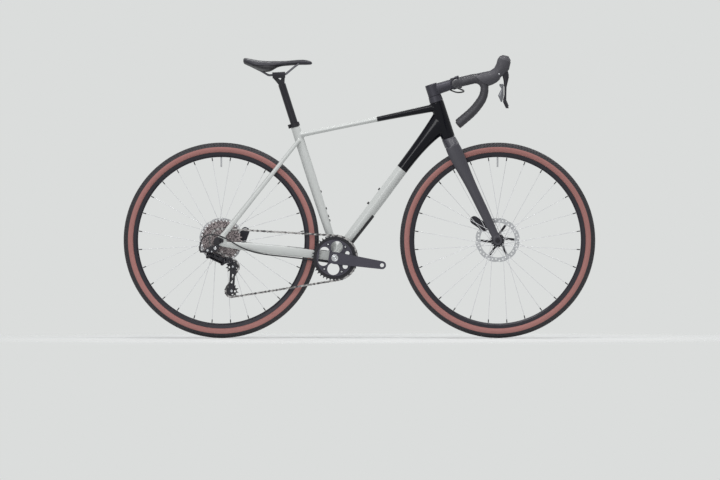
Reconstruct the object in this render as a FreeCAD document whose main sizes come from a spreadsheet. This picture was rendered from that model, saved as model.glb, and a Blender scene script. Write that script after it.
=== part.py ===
import FreeCAD, Part
import math
import os
import re
import Sketcher
from types import SimpleNamespace
from FreeCAD import Matrix, Placement, Rotation, Vector

# Gravel bike, drive side towards -Y, front towards +X, standing on the plane Z = 0.
# The origin lies on the ground halfway between the two axles. Lengths in millimetres, angles in degrees.

LAYOUT = {
    "wheelbase": 998.0,
    "tyre_r": 353.0,
    "rear_centre": 410.0,
    "bottom_bracket_drop": 63.0,
    "seat_lean": 17.7,
    "seat_tube_lead": 8.5,
    "head_lean": 18.0,
    "fork_rake": 55.0,
    "gap": 0.3,
    "running": 0.05,
    "overrun": 6.0,
}

FRAME = {
    "tube_wall": 2.0,
    "crown_height": 389.0,
    "head_tube_length": 137.0,
    "head_tube_r": 25.0,
    "head_bore_r": 21.0,
    "headset_bearing_height": 9.0,
    "top_tube_seat_height": 464.0,
    "top_tube_head_height": 118.0,
    "top_tube_seat_depth": 20.0,
    "top_tube_seat_width": 32.0,
    "top_tube_mid_depth": 18.0,
    "top_tube_mid_width": 38.0,
    "top_tube_head_depth": 30.0,
    "top_tube_head_width": 40.0,
    "down_tube_head_height": 62.0,
    "down_tube_depth": 42.5,
    "down_tube_neck_depth": 50.0,
    "down_tube_width": 46.0,
    "down_tube_head_depth": 86.0,
    "down_tube_head_width": 44.0,
    "down_tube_foot_width": 52.0,
    "down_tube_bow": 10.0,
    "guard_thickness": 2.2,
    "guard_start": 80.0,
    "guard_end": 205.0,
    "guard_depth": 13.0,
    "seat_tube_length": 497.0,
    "seat_tube_top_r": 16.5,
    "seat_tube_mid_depth": 33.0,
    "seat_tube_mid_width": 35.0,
    "seat_tube_mid_height": 200.0,
    "seat_tube_foot_depth": 22.0,
    "seat_tube_foot_width": 42.0,
    "seat_bore_depth": 235.0,
    "seat_clamp_height": 14.0,
    "seat_clamp_r": 18.0,
    "seat_clamp_slot": 2.0,
    "seat_clamp_lug": 6.5,
    "shell_r": 23.0,
    "shell_half_width": 34.0,
    "shell_bore_r": 17.5,
    "cup_r": 21.0,
    "cup_flange": 8.0,
    "cup_depth": 12.0,
    "chainstay_shell_y": 29.0,
    "chainstay_shell_depth": 34.0,
    "chainstay_shell_width": 14.0,
    "chainstay_bend": 130.0,
    "chainstay_bend_y": 33.0,
    "chainstay_bend_width": 12.5,
    "chainstay_mid_depth": 33.0,
    "chainstay_mid_width": 17.0,
    "chainstay_mid_y": 52.0,
    "chainstay_end_depth": 18.0,
    "chainstay_end_fall": 12.0,
    "chainstay_shell_lift": 4.5,
    "seatstay_top_height": 448.0,
    "seatstay_top_y": 21.0,
    "seatstay_top_depth": 14.0,
    "seatstay_top_width": 11.0,
    "seatstay_end_depth": 21.0,
    "seatstay_end_back": 8.0,
    "stay_room_r": 42.0,
    "dropout_thickness": 9.0,
    "dropout_r": 19.0,
    "hanger_back": 22.5,
    "hanger_fall": 27.0,
    "hanger_r": 10.0,
    "hanger_thickness": 7.0,
    "hanger_bolt_r": 4.5,
    "boss_bolt_r": 4.5,
    "boss_bolt_height": 3.0,
    "boss_spacing": 64.0,
    "boss_start": 230.0,
    "seat_boss_start": 182.0,
    "mount_plug_start": 137.0,
    "mount_plug_spacing": 16.0,
}

SEAT = {
    "post_r": 13.6,
    "post_wall": 2.2,
    "post_insertion": 115.0,
    "post_exposed": 171.0,
    "post_head_length": 46.0,
    "post_head_width": 60.0,
    "post_head_height": 12.0,
    "post_yoke": 24.0,
    "post_yoke_root_r": 10.0,
    "post_yoke_end_r": 5.0,
    "post_yoke_width": 25.0,
    "saddle_length": 255.0,
    "saddle_width": 146.0,
    "saddle_height": 51.0,
    "saddle_nose_ahead": 124.0,
    "saddle_above_rail": 61.0,
    "saddle_cover_depth": 27.0,
    "rail_r": 3.5,
    "rail_half_spacing": 22.0,
    "rail_clamp_height": 9.0,
    "rail_bolt_r": 2.5,
}

COCKPIT = {
    "steerer_r": 14.3,
    "steerer_wall": 2.0,
    "spacer_height": 22.0,
    "spacer_r": 23.5,
    "stem_height": 42.0,
    "stem_length": 88.0,
    "stem_clamp_r": 22.5,
    "stem_width": 36.0,
    "stem_depth": 36.0,
    "top_cap_height": 2.5,
    "bar_clamp_r": 15.9,
    "bar_clamp_half_width": 32.0,
    "faceplate_half_width": 23.0,
    "faceplate_thickness": 4.5,
    "faceplate_split": 1.2,
    "stem_bolt_r": 2.5,
    "stem_bolt_head_r": 4.2,
    "stem_bolt_head": 4.0,
    "stem_bolt_lug": 12.0,
    "stem_bolt_reach": 16.0,
    "bar_r": 11.9,
    "bar_wall": 2.2,
    "bar_half_width": 205.0,
    "bar_side_bend_r": 42.0,
    "bar_reach": 103.0,
    "bar_ramp_rise": 24.0,
    "bar_front_bend_r": 33.0,
    "bar_front_fall": 46.0,
    "bar_hook_bend_r": 84.0,
    "bar_hook_ahead": 66.0,
    "bar_hook_fall": 99.0,
    "bar_lower_bend_r": 230.0,
    "bar_end_ahead": 9.0,
    "bar_drop": 147.0,
    "bar_flare": 18.0,
    "tape_thickness": 2.8,
    "tape_start": 62.0,
    "plug_r": 14.0,
    "plug_thickness": 4.0,
    "plug_stem": 16.0,
    "hood_reach": 199.7,
    "hood_rise": 97.7,
    "hood_width": 34.0,
    "lever_pivot_ahead": 161.0,
    "lever_pivot_rise": 40.6,
    "lever_pivot_r": 3.0,
    "lever_slot_width": 15.0,
    "lever_slot_r": 21.0,
    "lever_room": 4.0,
    "lever_travel": 18.0,
    "lever_barrel_r": 7.0,
    "lever_root_r": 9.0,
    "lever_width": 12.0,
    "lever_reach": 199.0,
    "lever_fall": 88.0,
    "paddle_width": 9.0,
    "paddle_ahead": 171.7,
    "paddle_fall": 4.4,
    "paddle_pin_r": 2.0,
    "paddle_pin_reach": 6.0,
    "paddle_barrel": 15.0,
    "paddle_barrel_r": 4.2,
    "hose_r": 2.5,
    "hose_ahead": 29.0,
    "hose_out": 58.0,
    "hose_fall": 35.0,
}

FORK = {
    "crown_width": 96.0,
    "crown_depth": 54.0,
    "crown_drop": 34.0,
    "crown_neck_r": 25.0,
    "leg_top_y": 37.0,
    "leg_top_depth": 51.0,
    "leg_shoulder_depth": 55.0,
    "leg_top_width": 21.0,
    "leg_upper_depth": 44.0,
    "leg_mid_depth": 36.0,
    "leg_mid_width": 19.0,
    "leg_low_depth": 31.0,
    "leg_low_width": 15.0,
    "leg_end_depth": 28.0,
    "fork_end_r": 16.0,
    "fork_end_thickness": 13.0,
    "front_spacing": 100.0,
    "rear_spacing": 142.0,
    "axle_r": 6.0,
    "axle_head_r": 8.0,
    "axle_head": 3.0,
}

WHEEL = {
    "tyre_half_width": 21.0,
    "tyre_wall": 2.6,
    "bead_thickness": 3.0,
    "rim_outer_r": 318.5,
    "rim_inner_r": 300.6,
    "rim_half_width": 14.0,
    "rim_shoulder_r": 307.0,
    "rim_shoulder_half_width": 12.5,
    "rim_seat_r": 308.8,
    "rim_well_half_width": 5.0,
    "rim_flange": 2.5,
    "rim_well_r": 306.5,
    "rim_bed_half_width": 7.0,
    "spoke_count": 28,
    "spoke_r": 0.9,
    "spoke_cross": 2,
    "elbow_r": 1.1,
    "elbow_overhang": 1.3,
    "nipple_r": 1.9,
    "nipple_length": 13.0,
    "spoke_rim_y": 2.5,
    "flange_r": 25.0,
    "flange_hole_r": 21.5,
    "flange_thickness": 3.0,
    "hub_shell_r": 12.5,
    "hub_cap_r": 10.0,
    "front_flange_y": 24.0,
    "rear_flange_right_y": 18.5,
    "rear_flange_left_y": 30.0,
    "rotor_r": 80.0,
    "rotor_ring_inner_r": 63.0,
    "rotor_thickness": 1.8,
    "rotor_arm_width": 9.0,
    "rotor_arm_count": 6,
    "rotor_hub_r": 24.0,
    "rotor_mount_r": 14.0,
    "rotor_wave": 2.0,
    "rotor_hole_r": 3.0,
    "front_rotor_y": 39.0,
    "rear_rotor_y": 52.0,
    "valve_r": 3.0,
    "valve_length": 36.0,
    "sleeve_thickness": 2.0,
    "caliper_half_width": 13.0,
    "caliper_slot": 4.4,
    "caliper_pad": 1.0,
    "caliper_pad_gap": 0.3,
    "caliper_pad_r": 8.0,
    "caliper_r": 15.0,
    "front_caliper_back": 84.0,
    "front_caliper_rise": 72.0,
    "front_caliper_ahead": 47.0,
    "front_caliper_low": 47.0,
    "front_caliper_outward": 13.0,
    "rear_caliper_ahead": 74.0,
    "rear_caliper_low": 3.0,
    "rear_caliper_top_ahead": 87.0,
    "rear_caliper_rise": 32.0,
    "rear_caliper_outward": 20.0,
}

DRIVE = {
    "chain_pitch": 12.7,
    "chain_y": 43.5,
    "chain_links": 110,
    "chain_roller_r": 3.85,
    "chain_pin_r": 1.8,
    "chain_plate_half_height": 4.1,
    "chain_inner_gap": 2.6,
    "chain_plate": 0.7,
    "tooth_rise": 3.2,
    "tooth_thickness": 1.7,
    "gullet_r": 4.15,
    "chainring_teeth": 40,
    "chainring_inner_r": 66.0,
    "chainring_body_r": 75.5,
    "chainring_thickness": 3.4,
    "ring_bolt_circle_r": 55.0,
    "ring_tab_r": 9.0,
    "ring_bolt_r": 4.0,
    "ring_bolt_head_r": 5.5,
    "ring_bolt_head": 2.0,
    "spider_thickness": 5.0,
    "spider_angle": 55.0,
    "crank_length": 172.5,
    "crank_fall_angle": 8.65,
    "crank_root_depth": 44.0,
    "crank_eye_r": 14.5,
    "crank_arm_thickness": 15.0,
    "crank_outer_y": 74.0,
    "crank_boss_r": 22.0,
    "spindle_r": 12.0,
    "pedal_hole_r": 7.1,
    "crank_cap_r": 12.5,
    "crank_cap_recess": 3.0,
    "cassette_spacing": 3.9,
    "freehub_r": 17.0,
    "lockring_r": 19.0,
    "lockring": 2.0,
    "spacer_ring_r": 21.0,
    "pulley_teeth": 11,
    "pulley_thickness": 2.0,
    "pulley_bolt_r": 2.6,
    "pulley_boss_r": 6.0,
    "pulley_hole_r": 3.6,
    "pulley_bolt_head_r": 5.0,
    "pulley_bolt_head": 1.5,
    "guide_ahead": 41.0,
    "guide_fall": 94.5,
    "cage_pivot_ahead": 29.0,
    "cage_pivot_fall": 72.0,
    "pulley_spacing": 88.2,
    "cage_lean": 4.3,
    "cage_plate": 1.8,
    "cage_gap": 8.4,
    "cage_width": 20.0,
    "cage_knuckle_r": 9.0,
    "cage_knuckle_depth": 16.0,
    "cage_pin_r": 4.0,
    "cage_slot_r": 5.0,
    "knuckle_r": 10.0,
    "knuckle_depth": 13.4,
    "link_back": 19.5,
    "link_fall": 20.0,
    "link_root_y": 88.0,
    "link_end_back": 18.0,
    "link_end_fall": 1.0,
    "link_end_y": 64.0,
    "link_barrel_r": 5.0,
    "link_room": 0.8,
    "link_cheek": 3.0,
    "link_rod_r": 8.0,
    "link_height": 15.0,
    "link_thickness": 5.0,
    "link_spacing": 14.0,
    "link_pin_r": 2.2,
    "housing_r": 2.3,
    "housing_room": 1.5,
    "housing_out_y": 92.0,
    "housing_loop_back": 78.7,
    "housing_loop_rise": 25.0,
    "housing_start_back": 23.0,
    "housing_start_fall": 16.0,
    "housing_start_y": 22.0,
    "cable_stop_r": 4.0,
}

SPROCKETS = [11, 13, 15, 17, 19, 21, 23, 25, 28, 32, 36]
CHAIN_SPROCKET = 21

doc = FreeCAD.newDocument("gravel_bike")
sheet = doc.addObject("Spreadsheet::Sheet", "Sizes")


def fill_sheet():
    row = 1
    for group in (LAYOUT, FRAME, SEAT, COCKPIT, FORK, WHEEL, DRIVE):
        for alias, value in group.items():
            sheet.set("A%d" % row, alias)
            sheet.set("B%d" % row, str(value))
            sheet.setAlias("B%d" % row, alias)
            row += 1
    doc.recompute()
    values = {}
    for group in (LAYOUT, FRAME, SEAT, COCKPIT, FORK, WHEEL, DRIVE):
        for alias in group:
            values[alias] = sheet.get(alias)
    return SimpleNamespace(**values)


S = fill_sheet()

X = Vector(1, 0, 0)
Y = Vector(0, 1, 0)
Z = Vector(0, 0, 1)


# Document helpers

def bind(item, prop, text):
    """Bind a property to an expression whose words are aliases of the sheet."""
    def cell(word):
        name = word.group()
        return "Sizes." + name if hasattr(S, name) else name
    item.setExpression(prop, re.sub(r"[a-z][a-z_]*", cell, text))


def along(start, direction):
    return Placement(start, Rotation(Z, direction))


def facing(start, normal, side):
    """A placement whose local Z is normal and whose local X is side."""
    return Placement(start, Rotation(side, normal.cross(side), normal, "ZXY"))


def cylinder(name, radius, height, place):
    item = doc.addObject("Part::Cylinder", name)
    bind(item, "Radius", radius)
    bind(item, "Height", height)
    item.Placement = place
    return item


def box(name, length, width, height, place):
    """A box centred on its placement in local X and Y, rising along local Z."""
    item = doc.addObject("Part::Box", name)
    bind(item, "Length", length)
    bind(item, "Width", width)
    bind(item, "Height", height)
    doc.recompute([item])
    middle = Vector(-item.Length.Value / 2, -item.Width.Value / 2, 0)
    item.Placement = place * Placement(middle, Rotation())
    return item


def fuse(name, items):
    item = doc.addObject("Part::MultiFuse", name)
    item.Shapes = items
    item.Refine = False
    return item


def cut(name, base, tool):
    item = doc.addObject("Part::Cut", name)
    item.Base = base
    item.Tool = tool
    item.Refine = False
    return item


def common(name, base, tool):
    item = doc.addObject("Part::Common", name)
    item.Base = base
    item.Tool = tool
    return item


def feature(name, shape):
    item = doc.addObject("Part::Feature", name)
    item.Shape = shape
    return item


def compound(name, items):
    item = doc.addObject("Part::Compound", name)
    item.Links = items
    return item


NODES = []


def node(label, item):
    """Give the finished object of a sub-part the Label that names its file."""
    item.Label = label
    NODES.append(item)
    return item


def profile_body(name, points, place):
    """A PartDesign body: a sketch in its XZ plane, turned about its Z axis.

    Each point is a pair of expressions, distance from the axis and height along it.
    """
    body = doc.addObject("PartDesign::Body", name)
    sketch = body.newObject("Sketcher::SketchObject", name + "_profile")
    plane = [item for item in body.Origin.OriginFeatures if item.Role == "XZ_Plane"][0]
    sketch.AttachmentSupport = [(plane, "")]
    sketch.MapMode = "FlatFace"
    corners = [Vector(number(out), number(up), 0) for out, up in points]
    count = len(points)
    for index, corner in enumerate(corners):
        sketch.addGeometry(Part.LineSegment(corner, corners[(index + 1) % count]), False)
    for index in range(count):
        sketch.addConstraint(Sketcher.Constraint("Coincident", index, 2, (index + 1) % count, 1))
    for index, (out, up) in enumerate(points):
        for kind, text in (("DistanceX", out), ("DistanceY", up)):
            rule = sketch.addConstraint(Sketcher.Constraint(kind, -1, 1, index, 1, number(text)))
            bind(sketch, "Constraints[%d]" % rule, text)
    turn = body.newObject("PartDesign::Revolution", name + "_turn")
    turn.Profile = sketch
    turn.ReferenceAxis = (sketch, ["V_Axis"])
    turn.Angle = 360
    body.Placement = place
    return body


def number(text):
    """The value of a sum of aliases and numbers such as 'hub_r - gap'."""
    total = 0.0
    for sign, word in re.findall(r"([+-]?)\s*([a-z_]+(?:\s*/\s*\d+)?|\d+(?:\.\d+)?)", text):
        name, _, share = word.partition("/")
        name = name.strip()
        value = float(getattr(S, name)) if hasattr(S, name) else float(name)
        value = value / float(share) if share else value
        total += -value if sign == "-" else value
    return total


# Geometry helpers

def oval(place, across, deep):
    """An elliptical wire from a unit circle: across along local X, deep along local Y."""
    grow = Matrix()
    grow.scale(across / 2, deep / 2, 1)
    ring = Part.Wire(Part.makeCircle(1)).transformGeometry(grow)
    ring.Placement = place
    return ring


def loft(rings):
    return Part.makeLoft(rings, True, False)


def rounded_path(points, radii):
    """Straight runs through the points with a tangent arc at each inner corner."""
    edges = []
    start = points[0]
    for before, corner, after, radius in zip(points, points[1:], points[2:], radii):
        arrive = (corner - before).normalize()
        leave = (after - corner).normalize()
        half_turn = arrive.getAngle(leave) / 2
        reach = radius * math.tan(half_turn)
        first = corner - arrive * reach
        last = corner + leave * reach
        inward = (leave - arrive).normalize()
        middle = corner + inward * (radius / math.cos(half_turn) - radius)
        edges.append(Part.LineSegment(start, first).toShape())
        edges.append(Part.Arc(first, middle, last).toShape())
        start = last
    edges.append(Part.LineSegment(start, points[-1]).toShape())
    return Part.Wire(edges)


def pipe(path, radius):
    """A round bar along a path of lines and arcs, checked against section times length."""
    start = path.Edges[0].valueAt(path.Edges[0].FirstParameter)
    heading = path.Edges[0].tangentAt(path.Edges[0].FirstParameter)
    ring = Part.Wire(Part.makeCircle(radius, start, heading))
    solid = path.makePipeShell([ring], True, False)
    expected = math.pi * radius * radius * path.Length
    if abs(solid.Volume / expected - 1) > PIPE_VOLUME_SHARE:
        raise ValueError("a pipe's volume is not its section times its length")
    return solid


PIPE_VOLUME_SHARE = 0.02


def stadium(first, second, first_r, second_r):
    """A flat face round two circles in one plane, joined by their outer tangents, normal to Y."""
    span = second - first
    reach = span.Length
    heading = math.atan2(span.z, span.x)
    lean = math.acos((first_r - second_r) / reach)

    def rim(centre, radius, angle):
        return centre + Vector(math.cos(angle), 0, math.sin(angle)) * radius

    left = heading + lean
    right = heading - lean
    a = rim(first, first_r, left)
    b = rim(first, first_r, heading + math.pi)
    c = rim(first, first_r, right)
    d = rim(second, second_r, right)
    e = rim(second, second_r, heading)
    f = rim(second, second_r, left)
    edges = [
        Part.Arc(a, b, c).toShape(),
        Part.LineSegment(c, d).toShape(),
        Part.Arc(d, e, f).toShape(),
        Part.LineSegment(f, a).toShape(),
    ]
    return Part.Face(Part.Wire(edges))


def mirrored(shape):
    """The same shape on the other side of the bike's middle plane."""
    return shape.mirror(Vector(), Y)


# Reference points and directions of the layout

def leaning(angle):
    """A unit vector in the bike's plane, leaning back from the vertical by the angle."""
    return Vector(-math.sin(math.radians(angle)), 0, math.cos(math.radians(angle)))


def ahead_of(up):
    return Vector(up.z, 0, -up.x)


REAR_AXLE = Vector(-S.wheelbase / 2, 0, S.tyre_r)
FRONT_AXLE = Vector(S.wheelbase / 2, 0, S.tyre_r)
BRACKET = REAR_AXLE + Vector(S.rear_centre, 0, -S.bottom_bracket_drop)
SEAT_UP = leaning(S.seat_lean)
SEAT_AHEAD = ahead_of(SEAT_UP)
SEAT_FOOT = BRACKET + X * S.seat_tube_lead
HEAD_UP = leaning(S.head_lean)
HEAD_AHEAD = ahead_of(HEAD_UP)
STEER_FOOT = FRONT_AXLE - X * (S.fork_rake / HEAD_UP.z)
HEAD_TOP_HEIGHT = S.crown_height + S.head_tube_length
STEM_FOOT_HEIGHT = HEAD_TOP_HEIGHT + S.gap + S.spacer_height


def on_seat(height):
    return SEAT_FOOT + SEAT_UP * height


def on_head(height):
    return STEER_FOOT + HEAD_UP * height


BAR_CENTRE = on_head(STEM_FOOT_HEIGHT + S.stem_height / 2) + HEAD_AHEAD * S.stem_length


# Frame

def tube_rings(stations, inset):
    """Ovals along a tube: each station is a centre, a heading, a width and a depth."""
    rings = []
    for centre, heading, width, depth in stations:
        rings.append(oval(facing(centre, heading, Y), width - 2 * inset, depth - 2 * inset))
    return rings


def top_tube_stations():
    start = on_seat(S.top_tube_seat_height)
    end = on_head(S.crown_height + S.top_tube_head_height)
    heading = (end - start).normalize()
    return [
        (start, heading, S.top_tube_seat_width, S.top_tube_seat_depth),
        ((start + end) / 2, heading, S.top_tube_mid_width, S.top_tube_mid_depth),
        (end, heading, S.top_tube_head_width, S.top_tube_head_depth),
    ]


DOWN_TUBE_END = on_head(S.crown_height + S.down_tube_head_height)
DOWN_TUBE_RUN = (DOWN_TUBE_END - BRACKET).normalize()
DOWN_TUBE_TOP_SIDE = Vector(-DOWN_TUBE_RUN.z, 0, DOWN_TUBE_RUN.x)
DOWN_TUBE_PLACE_SHARES = (0, 0.3, 0.6, 0.82, 1)
DOWN_TUBE_BOW_SHARES = (0, 0.35, 0.85, 1, 0.2)


def down_tube_stations():
    length = (DOWN_TUBE_END - BRACKET).Length
    widths = (S.down_tube_foot_width, S.down_tube_width, S.down_tube_width,
              S.down_tube_width, S.down_tube_head_width)
    depths = (S.down_tube_depth, S.down_tube_depth, S.down_tube_depth,
              S.down_tube_neck_depth, S.down_tube_head_depth)
    stations = []
    for place, bow, width, depth in zip(DOWN_TUBE_PLACE_SHARES, DOWN_TUBE_BOW_SHARES, widths, depths):
        centre = BRACKET + DOWN_TUBE_RUN * (length * place) + DOWN_TUBE_TOP_SIDE * (S.down_tube_bow * bow)
        stations.append((centre, DOWN_TUBE_RUN, width, depth))
    return stations


def seat_tube_stations():
    top = 2 * S.seat_tube_top_r
    return [
        (on_seat(0), SEAT_UP, S.seat_tube_foot_width, S.seat_tube_foot_depth),
        (on_seat(S.seat_tube_mid_height), SEAT_UP, S.seat_tube_mid_width, S.seat_tube_mid_depth),
        (on_seat(S.seat_tube_length), SEAT_UP, top, top),
    ]


def make_frame_tubes():
    head_outer = cylinder("head_tube_outer", "head_tube_r", "head_tube_length",
                          along(on_head(S.crown_height), HEAD_UP))
    shell_outer = cylinder("shell_outer", "shell_r", "2 * shell_half_width",
                           along(BRACKET - Y * S.shell_half_width, Y))
    seat_outer = feature("seat_tube_outer", loft(tube_rings(seat_tube_stations(), 0)))
    down_outer = feature("down_tube_outer", loft(tube_rings(down_tube_stations(), 0)))
    top_outer = feature("top_tube_outer", loft(tube_rings(top_tube_stations(), 0)))

    node("head_tube", profile_body("head_tube_body", [
        ("head_bore_r", "0"),
        ("head_tube_r", "0"),
        ("head_tube_r", "head_tube_length"),
        ("head_bore_r", "head_tube_length"),
    ], along(on_head(S.crown_height), HEAD_UP)))

    node("bottom_bracket_shell", profile_body("shell_body", [
        ("shell_bore_r", "0 - shell_half_width"),
        ("shell_r", "0 - shell_half_width"),
        ("shell_r", "shell_half_width"),
        ("shell_bore_r", "shell_half_width"),
    ], along(BRACKET, Y)))

    down_hollow = feature("down_tube_hollow", loft(tube_rings(down_tube_stations(), S.tube_wall)))
    down = cut("down_tube_wall", down_outer, down_hollow)
    down = cut("down_tube_at_head", down, head_outer)
    node("down_tube", cut("down_tube_at_shell", down, shell_outer))

    seat_bore = cylinder("seat_bore", "post_r + running", "seat_bore_depth + overrun",
                         along(on_seat(S.seat_tube_length - S.seat_bore_depth), SEAT_UP))
    seat = cut("seat_tube_bored", seat_outer, seat_bore)
    seat = cut("seat_tube_at_shell", seat, shell_outer)
    node("seat_tube", cut("seat_tube_at_down_tube", seat, down_outer))

    top_hollow = feature("top_tube_hollow", loft(tube_rings(top_tube_stations(), S.tube_wall)))
    top = cut("top_tube_wall", top_outer, top_hollow)
    top = cut("top_tube_at_head", top, head_outer)
    node("top_tube", cut("top_tube_at_seat", top, seat_outer))
    return SimpleNamespace(shell=shell_outer, seat=seat_outer, down=down_outer)


def make_headset_bearings():
    rings = []
    for index, height in enumerate((0, S.head_tube_length - S.headset_bearing_height)):
        rings.append(profile_body("headset_bearing_%d" % index, [
            ("steerer_r + running", "0"),
            ("head_bore_r", "0"),
            ("head_bore_r", "headset_bearing_height"),
            ("steerer_r + running", "headset_bearing_height"),
        ], along(on_head(S.crown_height + height), HEAD_UP)))
    node("headset_bearings", compound("headset_bearing_pair", rings))


def make_bracket_cups():
    cups = []
    for side in (-1, 1):
        cups.append(profile_body("bracket_cup_%d" % (side + 1), [
            ("spindle_r + running", "0 - cup_depth"),
            ("shell_bore_r", "0 - cup_depth"),
            ("shell_bore_r", "0"),
            ("cup_r", "0"),
            ("cup_r", "cup_flange"),
            ("spindle_r + running", "cup_flange"),
        ], along(BRACKET + Y * (side * S.shell_half_width), Y * side)))
    node("bottom_bracket_cups", compound("bracket_cup_pair", cups))


DROPOUT_INNER_Y = S.rear_spacing / 2
DROPOUT_MID_Y = DROPOUT_INNER_Y + S.dropout_thickness / 2


def stay_loft(stations, side):
    """A stay through stations of centre, width and depth, on the side given as -1 or 1."""
    centres = [Vector(place.x, side * place.y, place.z) for place, width, depth in stations]
    heading = (centres[-1] - centres[0]).normalize()
    across = Y - heading * heading.dot(Y)
    across.normalize()
    rings = []
    for centre, (place, width, depth) in zip(centres, stations):
        rings.append(oval(facing(centre, heading, across), width, depth))
    return loft(rings)


def chainstay_stations():
    rise = (S.bottom_bracket_drop - S.chainstay_end_fall) / S.rear_centre
    lift = S.chainstay_shell_lift

    def at(back, out):
        return Vector(BRACKET.x - back, out, BRACKET.z + lift + back * (rise - lift / S.rear_centre))

    middle = (S.chainstay_bend + S.rear_centre) / 2
    return [
        (at(0, S.chainstay_shell_y), S.chainstay_shell_width, S.chainstay_shell_depth),
        (at(S.chainstay_bend, S.chainstay_bend_y), S.chainstay_bend_width, S.chainstay_mid_depth),
        (at(middle, S.chainstay_mid_y), S.chainstay_mid_width, S.chainstay_mid_depth),
        (at(S.rear_centre, DROPOUT_MID_Y), S.dropout_thickness, S.chainstay_end_depth),
    ]


def seatstay_stations():
    top = on_seat(S.seatstay_top_height) + Y * S.seatstay_top_y
    end = REAR_AXLE + Vector(-S.seatstay_end_back, DROPOUT_MID_Y, 0)
    return [
        (end, S.dropout_thickness, S.seatstay_end_depth),
        ((end + top) / 2, (S.dropout_thickness + S.seatstay_top_width) / 2,
         (S.seatstay_end_depth + S.seatstay_top_depth) / 2),
        (top, S.seatstay_top_width, S.seatstay_top_depth),
    ]


def make_rear_triangle(tubes):
    chainstays = []
    seatstays = []
    dropouts = []
    cups = cylinder("cup_room", "cup_r + gap", "4 * shell_half_width",
                    along(BRACKET - Y * (2 * S.shell_half_width), Y))
    for side, word in ((-1, "right"), (1, "left")):
        foot = REAR_AXLE + Y * (side * DROPOUT_INNER_Y)
        boss = cylinder("dropout_boss_" + word, "dropout_r", "dropout_thickness", along(foot, Y * side))
        hole = cylinder("dropout_hole_" + word, "axle_r", "dropout_thickness + 2 * overrun",
                        along(foot - Y * (side * S.overrun), Y * side))
        dropouts.append(cut("dropout_" + word, boss, hole))
        hub = cylinder("hub_room_" + word, "stay_room_r", "rear_spacing / 2", along(REAR_AXLE, Y * side))
        axle = cylinder("axle_room_" + word, "dropout_r", "dropout_thickness + 2 * overrun",
                        along(foot - Y * (side * S.overrun), Y * side))
        stay = feature("chainstay_form_" + word, stay_loft(chainstay_stations(), side))
        stay = cut("chainstay_at_shell_" + word, stay, tubes.shell)
        stay = cut("chainstay_at_cup_" + word, stay, cups)
        stay = cut("chainstay_at_hub_" + word, stay, hub)
        chainstays.append(cut("chainstay_" + word, stay, axle))
        stay = feature("seatstay_form_" + word, stay_loft(seatstay_stations(), side))
        stay = cut("seatstay_at_seat_" + word, stay, tubes.seat)
        stay = cut("seatstay_at_hub_" + word, stay, hub)
        seatstays.append(cut("seatstay_" + word, stay, axle))
    node("chainstays", compound("chainstay_pair", chainstays))
    node("seatstays", compound("seatstay_pair", seatstays))
    node("dropouts", compound("dropout_pair", dropouts))
    return SimpleNamespace(chainstay_left=chainstays[1], dropout_right=boss_of("right"))


def boss_of(word):
    return doc.getObject("dropout_boss_" + word)


HANGER_BOLT = REAR_AXLE + Vector(-S.hanger_back, 0, -S.hanger_fall)


def make_hanger(rear):
    outline = stadium(REAR_AXLE, HANGER_BOLT, S.hanger_r, S.hanger_r)
    arm = outline.extrude(-Y * S.hanger_thickness)
    arm.translate(-Y * (DROPOUT_INNER_Y + S.gap))
    arm = cut("hanger_arm", feature("hanger_form", arm), rear.dropout_right)
    hole = cylinder("hanger_hole", "hanger_bolt_r + running", "hanger_thickness + 2 * overrun",
                    along(HANGER_BOLT - Y * (DROPOUT_INNER_Y - S.overrun), -Y))
    node("derailleur_hanger", cut("hanger", arm, hole))


def make_seat_clamp():
    foot = on_seat(S.seat_tube_length)
    ring = cylinder("seat_clamp_ring", "seat_clamp_r", "seat_clamp_height", along(foot, SEAT_UP))
    behind = foot - SEAT_AHEAD * S.seat_clamp_r
    lug = box("seat_clamp_lug", "2 * seat_clamp_lug", "2 * seat_clamp_lug", "seat_clamp_height",
              facing(behind, SEAT_UP, SEAT_AHEAD))
    bore = cylinder("seat_clamp_bore", "post_r + running", "seat_clamp_height + 2 * overrun",
                    along(foot - SEAT_UP * S.overrun, SEAT_UP))
    slot = box("seat_clamp_slot", "2 * seat_clamp_r", "seat_clamp_slot", "seat_clamp_height + 2 * overrun",
               facing(behind - SEAT_UP * S.overrun, SEAT_UP, SEAT_AHEAD))
    clamp = fuse("seat_clamp_solid", [ring, lug])
    clamp = cut("seat_clamp_bored", clamp, bore)
    clamp = cut("seat_clamp_split", clamp, slot)
    middle = behind - SEAT_AHEAD * (S.seat_clamp_lug / 2) + SEAT_UP * (S.seat_clamp_height / 2)
    half = 2 * S.seat_clamp_lug
    screw = cylinder("seat_clamp_screw", "stem_bolt_r", "4 * seat_clamp_lug", along(middle - Y * half, Y))
    node("seat_clamp", fuse("seat_clamp_with_screw", [clamp, screw]))


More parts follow.
